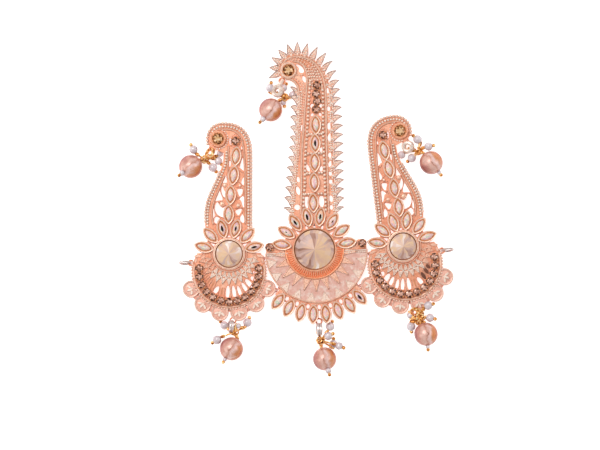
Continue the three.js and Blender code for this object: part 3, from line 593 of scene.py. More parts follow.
def setting(bench, x, y, turn):
    """A marquise cup, with its seam in the second finish, which is painted shade."""
    foot = PLATE_BACK + BACK_STEP * (10 + len(bench.points) % 9)
    for finish, profile in ((0, [(0.98, foot)] + RIM_PROFILE), (1, SEAM_PROFILE)):
        rings = []
        for out, z in profile:
            length, width = MARQUISE["half_length"] + out * 1.15, MARQUISE["half_width"] + out
            rings.append(at_height(leaf(length, width, x, y, turn, count=28, point=1.5), z))
        bench.add(*skin(rings, start=finish == 0, end=finish == 1), finish)


def centre_of(node):
    """The middle of a CAD node's box, in millimetres."""
    low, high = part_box(node)
    return tuple((low + high) / 2 * 1000)


# Painted shade: dark low down in the seams round the stones, in the cups' insides and on the claws.
seam = plating("painted_seam_shade",
               [(0.0, (0.10, 0.03, 0.012)), (0.3, (0.32, 0.09, 0.03)), (0.6, (0.62, 0.20, 0.06)),
                (1.0, (0.78, 0.31, 0.12))],
               low=0.0050, high=0.0066, metallic=0.0, rough=(0.4, 0.6))
rims = Bench()
fan_places = [(*centre_of(f"centre_fan_stone_{i + 1}")[:2], FAN_FIRST + FAN_STEP * i) for i in range(8)]
hem_places = [(*centre_of(f"centre_hem_stone_{i + 1}")[:2], HEM_FIRST + HEM_STEP * i) for i in range(8)]
for x, y, turn in fan_places + hem_places + [(x, y, 90) for x, y in ARM_MARQUISES]:
    setting(rims, x, y, turn)
rims.made("centre_marquise_settings", "centre", "rose_plating", [peach, seam], "centre_plate")

# ---------------------------------------------------------------------------------------------
# The marquise crystals: clear glass with a foiled flat back and an iris coat. Their flashes of
# cream, rose, mauve and mint are painted on the facets as painted reflections. In some the table
# holds a painted dark eye, a painted dark reflection.
# Their levels: shares of the half length and half width, height.
MARQUISE_LEVELS = [(0.90, 0.90, 5.3), (0.90, 0.91, 6.2), (0.76, 0.70, 6.8), (0.46, 0.28, 7.22)]
MARQUISE_SIDES = 12


def marquise_stone(bench, x, y, turn, dark=0.0):
    """A navette cut: a step of crown facets up to a narrow table, with a painted dark eye of a given size.
    """
    length, width, sides = MARQUISE["half_length"], MARQUISE["half_width"], MARQUISE_SIDES
    # Painted light: the side and lowest crown step stay dark as painted shade at the edge, the upper facets
    # and table get random painted flashes.
    shades = [0.0] * sides + [0.16 * chance.random() for _ in range(sides)]
    shades += [0.2 + 0.8 * chance.random() for _ in range(sides)] + [0.5, chance.uniform(0.55, 0.95)]
    bench.add(*skin([at_height(leaf(length * long, width * wide, x, y, turn, sides, 1.5), z)
                     for long, wide, z in MARQUISE_LEVELS]), 0, shades)
    if dark:
        eye = leaf(length * 0.40 * dark, width * 0.33 * dark, x, y, turn, sides, 1.3)
        bench.add(*stacked(eye, [(7.1, 0), (7.25, 0.05)]), 1)


def crystal(name, stops, hue_scale, rough=0.06, ior=1.45, metallic=0.15, coat=0.1, hue_share=0.45,
            shine=0.5):
    """Cut glass: each facet is painted its own shade as a painted flash or reflection, over slow changes of
    hue.
    """
    material, nodes, links, shader = node_material(name)
    cut = nodes.new("ShaderNodeAttribute")
    cut.attribute_name = "facet"
    hue = speckle(nodes, links, hue_scale, detail=2)
    mixed = nodes.new("ShaderNodeMath")
    mixed.operation = "MULTIPLY_ADD"
    mixed.inputs[1].default_value = 1 - hue_share
    links.new(cut.outputs["Fac"], mixed.inputs[0])
    links.new(spread(nodes, links, hue, 0.3, 0.7, 0.0, hue_share), mixed.inputs[2])
    links.new(ramp(nodes, links, mixed.outputs[0], stops), shader.inputs["Base Color"])
    shader.inputs["Metallic"].default_value = metallic
    shader.inputs["IOR"].default_value = ior
    shader.inputs["Specular IOR Level"].default_value = shine
    shader.inputs["Coat Weight"].default_value = coat
    shader.inputs["Coat Roughness"].default_value = 0.04
    scratches = speckle(nodes, links, 5200, detail=3)
    links.new(spread(nodes, links, scratches, 0.3, 0.7, rough * 0.6, rough * 1.8),
              shader.inputs["Roughness"])
    bumps(nodes, links, shader, scratches, 0.04, 0.00002)
    return material


chance = random.Random(7)
iris = crystal("iris_crystal",
               [(0.04, (0.56, 0.24, 0.13)), (0.16, (0.84, 0.45, 0.29)), (0.28, (0.95, 0.65, 0.46)),
                (0.38, (0.64, 0.40, 0.54)), (0.47, (0.93, 0.65, 0.54)), (0.55, (0.48, 0.60, 0.46)),
                (0.63, (0.98, 0.81, 0.67)), (0.76, (0.82, 0.48, 0.56)), (0.88, (0.95, 0.57, 0.33)),
                (1.0, (0.97, 0.75, 0.57))],
               420, ior=1.4, metallic=0.0, hue_share=0.32)
# Painted dark reflection: near black glass for the dark eyes in the tables.
dark_reflection = crystal("dark_reflection", [(0.0, (0.010, 0.006, 0.006)), (1.0, (0.04, 0.024, 0.020))], 900,
                    ior=1.3, metallic=0.0, coat=0.0)
# Which stones look dark, and how big their dark eyes are.
FAN_DARK, HEM_DARK, ARM_DARK = {2: 0.6, 3: 1.0, 4: 1.1, 5: 1.0, 6: 0.5}, {0: 1.1}, {3: 1.1}
for group, places, dark_ones in (("fan", fan_places, FAN_DARK), ("hem", hem_places, HEM_DARK)):
    for i, (x, y, turn) in enumerate(places):
        stone = Bench()
        marquise_stone(stone, x, y, turn, dark_ones.get(i, 0.0))
        stone.made(f"centre_{group}_crystal_{i + 1}", "centre", "iris_crystal", [iris, dark_reflection],
                   f"centre_{group}_stone_{i + 1}", crease=0)
column = Bench()
for i, (x, y) in enumerate(ARM_MARQUISES):
    marquise_stone(column, x, y, 90, ARM_DARK.get(i, 0.0))
column.made("centre_column_crystals", "centre", "iris_crystal", [iris, dark_reflection], "centre_plate", crease=0)

# ---------------------------------------------------------------------------------------------
# The small round crystals (chatons): smoky brown brilliants in low cups with four claws. Four
# stand in a column under the arm's head and one on each top corner of the half disc.
ARM_CHATONS = [(3.5, 64.3), (4.1, 68.0), (3.8, 71.4), (4.4, 75.3)]
CORNER_CHATONS = [(-20.6, 1.9), (22.0, 1.9)]
CHATON_RADIUS, CUP_TOP = 1.82, 6.5
# The cup's wall and lip: out from the stone's edge, height.
CUP_WALL = [(0.28, CUP_TOP - 0.7), (0.24, CUP_TOP - 0.2), (0.14, CUP_TOP)]
CUP_LIP = [(0.14, CUP_TOP), (0.0, CUP_TOP - 0.3), (-0.12, CUP_TOP - 0.6), (-0.16, CUP_TOP - 0.9)]
# The facets' painted shades, dark and light as painted reflections, over and over round the stone.
BRILLIANT_OUTER = (0, 0.05, 0.55, 0.1, 0, 0.75, 0.35, 0.05)
BRILLIANT_INNER = (1.0, 0.6, 0.05, 0.15, 0.8, 0.4, 0)


def around(radius, angle, x=0.0, y=0.0):
    """A place at a distance and an angle, in degrees, from another."""
    t = math.radians(angle)
    return np.array([x + radius * math.cos(t), y + radius * math.sin(t)])


def ring_of(radius, x, y, z, sides, first=0.0):
    """A level ring of places, from its first angle."""
    t = math.radians(first) + np.arange(sides) * 2 * math.pi / sides
    return np.column_stack([x + radius * np.cos(t), y + radius * np.sin(t), np.full(sides, float(z))])


def chaton_cup(bench, x, y):
    """A low cup with four claws; its inside and the claws take the second finish, which is painted shade."""
    foot = PLATE_BACK + BACK_STEP * (20 + len(bench.points) % 7)
    bench.add(*skin([ring_of(CHATON_RADIUS + out, x, y, z, 20) for out, z in [(0.26, foot)] + CUP_WALL],
                    end=False))
    bench.add(*skin([ring_of(CHATON_RADIUS + out, x, y, z, 20) for out, z in CUP_LIP], start=False), 1)
    for turn in range(45, 405, 90):
        grain(bench, *around(CHATON_RADIUS - 0.02, turn, x, y), CUP_TOP - 0.05, 0.4, 1)


def brilliant(bench, x, y, radius=CHATON_RADIUS, girdle=6.3, top=6.95, sides=8, turn=0.0):
    """A round brilliant's crown: girdle, kite facets and table."""
    corners = sides * 2
    middle = girdle + (top - girdle) * 0.62
    rings = [ring_of(radius * 0.96, x, y, girdle - 0.9, corners, turn),
             ring_of(radius, x, y, girdle, corners, turn),
             ring_of(radius * 0.78, x, y, middle, corners, turn + 90 / sides),
             ring_of(radius * 0.46, x, y, top, corners, turn)]
    shades = [0.1] * corners
    for pattern in (BRILLIANT_OUTER, BRILLIANT_INNER):
        shades += [pattern[i % len(pattern)] for i in range(corners)]
    bench.add(*skin(rings), 0, shades + [0.1, 0.8])


smoky = crystal("smoky_crystal",
                [(0.1, (0.025, 0.008, 0.005)), (0.3, (0.11, 0.04, 0.025)), (0.5, (0.38, 0.15, 0.09)),
                 (0.66, (0.70, 0.36, 0.26)), (0.9, (0.93, 0.66, 0.54))], 700)
cups, stones = Bench(), Bench()
for x, y in ARM_CHATONS + CORNER_CHATONS:
    chaton_cup(cups, x, y)
    brilliant(stones, x, y, turn=chance.uniform(0, 45))
cups.made("centre_chaton_cups", "centre", "rose_plating", [peach, seam], "centre_plate")
stones.made("centre_chatons", "centre", "smoky_crystal", [smoky], "centre_plate", crease=0)

# ---------------------------------------------------------------------------------------------
# The curl stone at the end of the arm: a bigger golden brown brilliant in a wide cast cup, with
# a ring of grains in the cup's rim and six claws bent over the stone. Profiles: radius, height.
CURL_CUP = [(3.85, PLATE_BACK + 0.4), (3.9, 5.6), (3.7, 6.3), (3.5, 6.5), (3.25, 6.25), (3.15, 6.3),
            (2.95, 6.5), (2.85, 6.45)]
CURL_SEAM = [(2.85, 6.45), (2.6, 6.3), (2.46, 5.6)]


def turned(bench, x, y, profile, sides, finish=0, start=True, end=True):
    """A round part turned about its upright axis from (radius, height) pairs, outside first."""
    bench.add(*skin([ring_of(radius, x, y, z, sides) for radius, z in profile], start, end), finish)


def curl_setting(bench, x, y):
    """The curl stone's cup, with its seam and claws in the second finish, which is painted shade."""
    turned(bench, x, y, CURL_CUP, 36, end=False)
    turned(bench, x, y, CURL_SEAM, 36, finish=1, start=False)
    grains(bench, ring_of(3.32, x, y, 0, 22)[:, :2], 0.36, 6.28)
    for turn in range(20, 380, 60):
        grain(bench, *around(2.5, turn, x, y), 6.6, 0.36, 1)


golden = crystal("golden_crystal",
                 [(0.1, (0.05, 0.015, 0.006)), (0.3, (0.22, 0.07, 0.025)), (0.45, (0.56, 0.26, 0.10)),
                  (0.65, (0.80, 0.46, 0.22)), (0.9, (0.94, 0.72, 0.50))], 700)
curl_x, curl_y, _ = centre_of("centre_curl_stone")
cup = Bench()
curl_setting(cup, curl_x, curl_y)
cup.made("centre_curl_cup", "centre", "rose_plating", [peach, seam], "centre_plate")
stone = Bench()
brilliant(stone, curl_x, curl_y, 2.48, 6.1, 7.1, sides=10)
stone.made("centre_curl_crystal", "centre", "smoky_crystal", [golden], "centre_curl_stone", crease=0)

# ---------------------------------------------------------------------------------------------
# The big round crystal (rivoli): champagne glass cut to a low point in three rounds of wedge
# facets, in a plain turned cup whose flat back carries the brooch when it lies down.
# Painted reflections: how light each wedge is painted round the stone: angle in degrees, share from dark to
# light.
WEDGE_SHADES = [(0, 0.62), (30, 0.5), (60, 0.68), (82, 0.45), (92, 0.15), (102, 0.5), (140, 0.6),
                (165, 0.5), (182, 0.12), (196, 0.4), (220, 0.6), (240, 0.25), (250, 0.3), (270, 0.62),
                (300, 0.72), (330, 0.95), (345, 0.6), (360, 0.62)]
# How far the shades of the outer two rounds stray from the wedge that they lie in.
WEDGE_PLAY = (0.34, 0.22)
BIG_CUP = [(4.4, 0.02), (4.6, 0.1), (9.7, 3.7), (9.95, 4.4), (10.1, 5.7), (9.98, 6.2), (9.8, 6.35),
           (9.52, 6.2)]
BIG_SEAM = [(9.52, 6.2), (9.3, 5.75), (8.9, 5.6)]


def rivoli(bench, x, y, radius, girdle, point, sides, turn=0, contrast=1.0):
    """A pointed round stone, from its back up over the girdle."""
    rise = point - girdle
    rings = [ring_of(radius * 0.3, x, y, girdle - 2.4, sides),
             ring_of(radius - 0.05, x, y, girdle - 0.5, sides), ring_of(radius, x, y, girdle, sides),
             ring_of(radius * 0.84, x, y, girdle + rise * 0.20, sides, 180 / sides),
             ring_of(radius * 0.56, x, y, girdle + rise * 0.47, sides),
             ring_of(radius * 0.02, x, y, point, sides)]
    angles = ((np.arange(sides) + 0.5) * 360 / sides - turn) % 360
    wedges = np.interp(angles, *zip(*WEDGE_SHADES)) + [chance.uniform(-0.22, 0.18) for _ in range(sides)]
    wedges = 0.5 + (wedges - 0.5) * contrast
    rounds = [wedges + [chance.uniform(-play, play) for _ in range(sides)] for play in WEDGE_PLAY] + [wedges]
    bench.add(*skin(rings), 0, [0.3] * (2 * sides) + [*np.clip(np.concatenate(rounds), 0, 1), 0.3, 0.9])


champagne = crystal("champagne_crystal",
                    [(0.08, (0.24, 0.12, 0.08)), (0.26, (0.46, 0.25, 0.19)), (0.4, (0.60, 0.42, 0.38)),
                     (0.52, (0.72, 0.46, 0.34)), (0.64, (0.80, 0.54, 0.33)), (0.78, (0.76, 0.54, 0.46)),
                     (0.92, (0.95, 0.85, 0.78))], 60, rough=0.22, metallic=0.0, coat=0.05, shine=0.25)
big = Bench()
rivoli(big, 0, 0, 8.95, 5.9, 9.2, 36)
big.made("centre_big_crystal", "centre", "champagne_crystal", [champagne], "centre_rivoli", crease=0)
cup = Bench()
turned(cup, 0, 0, BIG_CUP, 72, end=False)
turned(cup, 0, 0, BIG_SEAM, 72, finish=1, start=False)
# Painted shade: dark in the groove round the round crystals, darkest low down in the seam.
groove_shade = plating("painted_groove_shade",
               [(0.0, (0.06, 0.014, 0.004)), (0.5, (0.24, 0.07, 0.018)), (1.0, (0.50, 0.18, 0.06))])
orange = plating("orange_collar",
                 [(0.0, (0.73, 0.22, 0.08)), (0.4, (0.93, 0.37, 0.19)), (0.7, (0.97, 0.47, 0.27)),
                  (1.0, (0.97, 0.56, 0.38))],
                 low=0.0050, high=0.0064)
cup.made("centre_big_cup", "centre", "rose_plating", [orange, groove_shade], "centre_plate")

# ---------------------------------------------------------------------------------------------
# The half disc under the big crystal: a cast tray with a raised rim, its floor filled with pale
# pink enamel. A fluted collar goes round the crystal's lower half, and two rows of beaded petals
# stand in the enamel, one pointing out from the collar and one pointing in from the rim.
DISC_X, DISC_Y, DISC_RADIUS, DISC_TOP = 0.8, -1.2, 23.6, -0.9
COLLAR_HOLES = (19, 41, 68, 88, 108, 133)
ENAMEL_TOP = 5.15
CORNER_TAB = [(15.5, -0.8), (24.0, -0.8), (23.8, 1.2), (21.7, 3.9), (20.3, 3.9), (18.0, 2.6), (16.0, 1.4)]


def arc(radius, x, y, first, last, count):
    """Points along part of a circle, by angles in degrees."""
    t = np.radians(np.linspace(first, last, count))
    return np.column_stack([x + radius * np.cos(t), y + radius * np.sin(t)])


def cut_disc(radius, x, y, top):
    """A circle's outline with everything above a level cut off."""
    reach = math.degrees(math.asin((top - y) / radius))
    return arc(radius, x, y, -180 - reach, reach, 60)


def petal(bench, foot, tip, half_width, bead, finish=0, rise=0.65):
    """A flat triangle on the enamel with a row of beads along its two long edges and grains in it."""
    foot, tip = np.array(foot, float), np.array(tip, float)
    out = (tip - foot) / np.linalg.norm(tip - foot)
    side = np.array([out[1], -out[0]]) * half_width
    outline = np.array([foot + side, tip, foot - side])
    if turning(outline) < 0:
        outline = outline[::-1]
    bench.add(*stacked(outline, [(4.9, 0), (5.3, 0), (5.4, 0.12)]), finish)
    for edge in (side, -side):
        rail(bench, smooth_line([foot + edge, tip], 1.2), 0.42, 5.0, 5.0 + rise, 4, finish=finish)
        grains(bench, smooth_line([foot + edge, tip], 2.15 * bead), bead, 4.9 + rise, finish)
    for share in (0.15, 0.42):
        grain(bench, *(foot + (tip - foot) * share), 5.45, bead * 1.1, finish)


enamel, nodes, links, shader = node_material("pink_enamel")
clouds = speckle(nodes, links, 420, detail=6, roughness=0.75)
links.new(ramp(nodes, links, clouds,
               [(0.34, (0.71, 0.36, 0.28)), (0.5, (0.77, 0.45, 0.37)), (0.6, (0.83, 0.60, 0.52)),
                (0.68, (0.86, 0.78, 0.68))]),
          shader.inputs["Base Color"])
links.new(spread(nodes, links, speckle(nodes, links, 1800), 0.3, 0.7, 0.12, 0.3), shader.inputs["Roughness"])
shader.inputs["Coat Weight"].default_value = 0.5
bumps(nodes, links, shader, speckle(nodes, links, 620), 0.25, 0.00008)

pale = plating("pale_petals",
               [(0.0, (0.80, 0.44, 0.31)), (0.45, (0.88, 0.62, 0.50)), (1.0, (0.95, 0.84, 0.75))],
               low=0.0048, high=0.0057, metallic=0.2)
tray = Bench()
tray.sheet(cut_disc(DISC_RADIUS, DISC_X, DISC_Y, DISC_TOP), [], PLATE_BACK + BACK_STEP, 4.95)
gaps = [np.array([around(9.95, a - 3.5), around(9.95, a + 3.5), around(12.2, a)]) for a in COLLAR_HOLES]
tray.sheet(arc(14.3, 0, 0, 0, 360, 61)[:-1], gaps, PLATE_BACK + 2 * BACK_STEP, 4.98, 0.15)
rail(tray, arc(DISC_RADIUS - 0.35, DISC_X, DISC_Y, -180, 0, 72), 0.75, 4.9, 5.95)
for side in (-1, 1):
    line = [(DISC_X + side * out, DISC_TOP - 0.3) for out in (13.0, 18, 23.2)]
    rail(tray, line, 0.8, 4.9, 5.8, finish=1)
    grains(tray, smooth_line([(x, y - 0.85) for x, y in line], 0.95), 0.42, 5.35, 1)
tray.made("centre_half_disc", "centre", "rose_plating", [peach, pale], "centre_plate")

filling = Bench()
outline = cut_disc(DISC_RADIUS - 0.6, DISC_X, DISC_Y, DISC_TOP - 0.35)
corners, triangles = filled([outline])
filling.add(at_height(corners, ENAMEL_TOP), triangles)
filling.add(*stacked(outline, [(4.8, 0), (ENAMEL_TOP, 0)], start=False, end=False))
filling.made("centre_enamel", "centre", "rose_plating", [enamel], "centre_plate")

collar = Bench()
ribs = 38
t = np.radians(np.linspace(-184, 4, ribs * 12 + 1))
profile = [(9.9, 6.3, 0.0), (10.05, 6.5, 0.0), (10.2, 6.4, 0.4), (10.6, 6.25, 0.6), (11.4, 6.05, 0.65),
           (12.3, 5.85, 0.55), (12.6, 5.7, 0.2), (12.85, 5.4, 0.0), (13.05, 5.8, 0.0), (13.35, 5.95, 0.0),
           (13.65, 5.8, 0.0), (13.85, 5.0, 0.0)]
flute = (0.5 - 0.5 * np.cos(2 * t * ribs)) ** 1.5
folds = [np.column_stack([radius * np.cos(t), radius * np.sin(t), z - depth * flute])
         for radius, z, depth in profile]
rows = len(t)
collar.add(np.concatenate(folds),
           [(a * rows + i, (a + 1) * rows + i, (a + 1) * rows + i + 1, a * rows + i + 1)
            for a in range(len(profile) - 1) for i in range(rows - 1)])
collar.made("centre_fluted_collar", "centre", "rose_plating", [orange], "centre_plate", crease=25)

petals = Bench()
for k in range(-5, 6):
    angle = -90 + 16.9 * k
    petal(petals, around(13.9, angle), around(19.3, angle), 1.6, 0.3)
for k in range(10):
    angle = -12 - 17.4 * k
    foot, tip = around(22.9, angle, DISC_X, DISC_Y), around(18.8, angle, DISC_X, DISC_Y)
    petal(petals, foot, tip, 2.1, 0.24, 1, 0.45)
petals.made("centre_petals", "centre", "rose_plating", [peach, pale], "centre_plate")

tabs = Bench()
for side in (-1, 1):
    outline = [(DISC_X + side * (x - DISC_X), y) for x, y in CORNER_TAB]
    tabs.sheet(outline, [], PLATE_BACK + 3 * BACK_STEP, 5.0)
    grains(tabs, smooth_line([(DISC_X + side * 15.4, 0.1), (DISC_X + side * 18.6, 0.9)], 0.95), 0.36, 5.15)
tabs.made("centre_corner_tabs", "centre", "rose_plating", [peach], "centre_plate")

# ---------------------------------------------------------------------------------------------
# The hem band: a curved strip, cast in one with the half disc, that carries the eight hem
# settings below the rim. A small hole goes through it between each two settings.
hem = Bench()
band = np.concatenate([arc(27.2, DISC_X, DISC_Y, -137, -42, 50), arc(23.2, DISC_X, DISC_Y, -42, -137, 46)])
holes = [leaf(1.0, 0.75, *around(25.4, a, DISC_X, DISC_Y), a, count=12, point=1.1)
         for a in (HEM_FIRST + HEM_STEP * (i + 0.5) for i in range(7))]
hem.sheet(band, holes, PLATE_BACK + 4 * BACK_STEP, 5.0, 0.2)
for i in range(8):
    a = HEM_FIRST + HEM_STEP * i
    for turn in (-2.2, 2.2):
        grain(hem, *around(24.3, a + turn, DISC_X, DISC_Y), 5.3, 0.42)
hem.made("centre_hem_band", "centre", "rose_plating", [peach], "centre_plate")

# ---------------------------------------------------------------------------------------------
# The two side plates are mirror casts of one another, in the same alloy and plating: a paisley
# arm pierced with scroll windows over a round medallion with a shell edge. Each is drawn about
# its round crystal with the arm along y, as the left plate, and laid where its links let it lie.
SIDES = (("left", "left_side", False), ("right", "right_side", True))
SIDE_CURL = (-5.1, 52.9)
SIDE_OUTLINE = ([(9.9, 8), (9.95, 20), (9.95, 34), (9.9, 47.6)],
                [(9.9, 47.6), (9.0, 52.4), (7.0, 56.1), (3.6, 58.6), (-0.8, 59.7), (-4.6, 59.5),
                 (-7.8, 57.8), (-9.7, 54.0)],
                [(-9.6, 50.4), (-7.4, 48.0), (-4.6, 47.6)],
                [(-2.4, 46.4), (-3.3, 40.4), (-6.2, 33.6), (-9.6, 25.4), (-11.2, 18.0), (-10.8, 11.5),
                 (-9.8, 8)])
SIDE_WINDOWS = [[(6.3, 43.6), (7.2, 41.5), (7.1, 38.6), (5.6, 39.6), (5.2, 40.0)],
                [(6.7, 34.9), (7.1, 33), (6.5, 31.9), (5.8, 33)],
                [(4.0, 29.4), (5.9, 29.6), (5.8, 28.0), (4.9, 26.8), (4.3, 28.2)],
                [(6.9, 26.2), (7.0, 22.2), (6.4, 22.2), (5.6, 24.6), (4.9, 24.9)],
                [(3.2, 19.6), (4.4, 20.3), (5.6, 20.3), (4.6, 18.2), (3.9, 18.3)],
                [(6.0, 18.0), (6.9, 16.2), (6.6, 14.6), (5.4, 15.4), (5.4, 16.9)],
                [(0.4, 53.2), (1.0, 52.5), (1.1, 50.8), (0.3, 50.8)],
                [(-1.6, 35.8), (-1.2, 34.5), (-1.2, 32.9), (-2.7, 33.0)],
                [(-3.0, 30.7), (-2.2, 29), (-1.4, 28), (-2.0, 26.4), (-2.9, 27.3), (-3.4, 29)],
                [(-4.5, 28.6), (-3.3, 25.3), (-4.4, 24.9), (-6.2, 24.8), (-5.4, 26.4)],
                [(-5.1, 23.6), (-4.3, 22.4), (-3.2, 21.2), (-1.9, 21.6), (-1.9, 20.2), (-2.4, 17.2),
                 (-3.6, 17.6), (-5.0, 18.4), (-6.0, 20.2), (-5.9, 22.2)],
                [(-7.2, 20.6), (-6.8, 19), (-6.7, 17), (-6.9, 15.6), (-7.5, 17.5), (-7.6, 19)],
                [(-5.6, 16.8), (-4.0, 15.6), (-4.4, 14.6), (-5.6, 14.1), (-6.6, 14.9), (-6.3, 16.2)],
                [(6.6, 50.8), (6.9, 49.4), (6.2, 48.3), (5.6, 48.8)],
                [(0.2, 42.5), (0.8, 42.2), (0.6, 40.6), (0.0, 40.4)]]
SIDE_CHATON = (3.0, 52.0)
SIDE_MARQUISES = [(-0.2, 18.2, 90), (0.7, 27.1, 88), (2.1, 36.1, 82), (3.2, 44.9, 84)]
SIDE_FAN_RADIUS, SIDE_FAN_FIRST, SIDE_FAN_STEP = 12.0, 15, 30
MEDALLION_Y, MEDALLION_RADIUS, MEDALLION_TOP = -8.3, 17.0, 0.4
# Comb slots: x, y, half length, half width, turn.
COMB_SLOTS = [(-5.9, -16.7, 1.9, 0.8, 56), (-0.6, -17.7, 2.9, 0.72, 86), (2.3, -17.6, 2.8, 0.68, 99),
              (4.8, -17.3, 2.5, 0.62, 109), (7.3, -15.6, 2.5, 0.66, 122), (9.2, -13.6, 2.3, 0.85, 131),
              (11.0, -11.4, 1.1, 0.75, 140), (12.0, -8.6, 0.9, 0.6, 160), (15.3, -8.8, 0.7, 0.4, 100)]


def side_bench(side, mirrored):
    """A bench laid on a side plate, from where its round crystal and its curl stone lie."""
    x, y, _ = centre_of(f"{side}_rivoli")
    curl_x, curl_y, _ = centre_of(f"{side}_curl_stone")
    drawn = math.atan2(SIDE_CURL[1], -SIDE_CURL[0] if mirrored else SIDE_CURL[0])
    return Bench(x, y, math.degrees(math.atan2(curl_y - y, curl_x - x) - drawn), mirrored)


side_arm = np.concatenate([smooth_line(run, 0.8)[:-1] for run in SIDE_OUTLINE])
for side, body, mirrored in SIDES:
    floor = side_bench(side, mirrored)
    windows = [smooth_line(window, 0.45, closed=True) for window in SIDE_WINDOWS]
    floor.sheet(side_arm, [hole + (hole - hole.mean(0)) * 0.2 for hole in windows], PLATE_BACK, 4.9, 0.12)
    gaps = [np.array([around(7.75, a - 5), around(7.75, a + 5), around(9.7, a)]) for a in (30, 60, 90, 150)]
    floor.sheet(arc(11.6, 0, 0, 0, 360, 49)[:-1], gaps, PLATE_BACK + BACK_STEP, 4.94, 0.15)
    slots = [leaf(long * 1.08, wide * 1.2, x, y, turn, count=16, point=1.1)
             for x, y, long, wide, turn in COMB_SLOTS]
    disc = cut_disc(MEDALLION_RADIUS, 0, MEDALLION_Y, MEDALLION_TOP)
    floor.sheet(disc, slots, PLATE_BACK + 2 * BACK_STEP, 4.92)
    floor.made(f"{side}_floor", body, "rose_plating", [peach], f"{side}_plate")

# ---------------------------------------------------------------------------------------------
# The raised lines of the side arms: a rope border of beads along both edges, dotted lines and
# smooth rails inside it, and thin scrolls round the windows.
SIDE_RIGHT_EDGE = [(10.1, 9.6), (10.15, 20), (10.15, 34), (10.1, 47.6), (9.2, 52.5), (7.2, 56.3),
                   (3.7, 58.9), (-0.8, 60.0), (-4.8, 59.8), (-8.0, 58.0), (-9.9, 54.4), (-9.8, 50.6)]
SIDE_LEFT_EDGE = [(-4.2, 37.6), (-5.7, 34), (-7.8, 29.6), (-9.7, 25), (-10.8, 20), (-10.9, 15)]
SIDE_DOTS = [(8.9, 12), (8.95, 24), (8.95, 36), (8.9, 46.5), (8.2, 51.6), (6.4, 55.2), (3.2, 57.6),
             (-0.9, 58.6), (-4.6, 58.3), (-7.2, 56.8), (-8.6, 53.8)]
SIDE_RAILS = [[(7.6, 14), (7.5, 30), (7.4, 38), (7.0, 45), (6.6, 49), (5.8, 53), (4, 55.5), (1, 57),
               (-2, 57.3), (-5.5, 57), (-7.6, 54.5)],
              [(-2.0, 36), (-3.6, 32.5), (-5.4, 28), (-7, 24), (-7.8, 20), (-7.8, 16), (-7.2, 13.5)],
              [(-1.2, 47), (-1.4, 43), (-2.2, 39.5), (-4.2, 34.6), (-6.8, 29.2), (-8.8, 24.4), (-9.8, 19),
               (-9.9, 13)],
              [(-0.2, 49.5), (-0.4, 45.5), (-0.5, 41.5), (-0.4, 38), (-0.7, 35)]]
DOTTED_RAIL = 2
SIDE_SCROLLS = [[(-1.0, 31.4), (-2.3, 32.0), (-3.6, 30.6), (-3.6, 28.0), (-2.6, 26.0), (-1.4, 25.6)],
                [(-3.9, 30.4), (-5.2, 28.0), (-6.6, 24.3), (-4.6, 24.0), (-3.0, 24.6)],
                [(-1.6, 22.4), (-3.0, 21.3), (-4.4, 22.9), (-5.4, 24.0), (-6.6, 22.2), (-6.6, 19.8),
                 (-5.2, 17.6), (-3.4, 16.9), (-2.0, 16.4)],
                [(-4.0, 17.3), (-5.6, 17.5), (-7.1, 16.3), (-7.0, 14.4), (-5.6, 13.3), (-4.0, 13.8)],
                [(3.4, 30.6), (5.0, 30.4), (6.6, 29.9), (6.4, 27.4), (4.9, 26.0), (3.6, 26.4)],
                [(3.4, 25.0), (4.9, 25.7), (6.2, 26.8), (7.2, 26.0)],
                [(5.4, 21.6), (6.4, 20.6), (5.4, 17.5), (3.6, 17.4)],
                [(4.4, 33.0), (5.4, 32.6), (6.4, 31.1), (7.2, 31.4)],
                [(4.9, 38.6), (6.0, 37.4), (7.2, 37.4)], [(2.6, 21.0), (4.2, 20.9), (5.9, 20.9)],
                [(5.0, 47.6), (5.8, 47.6), (6.4, 47.4)]]
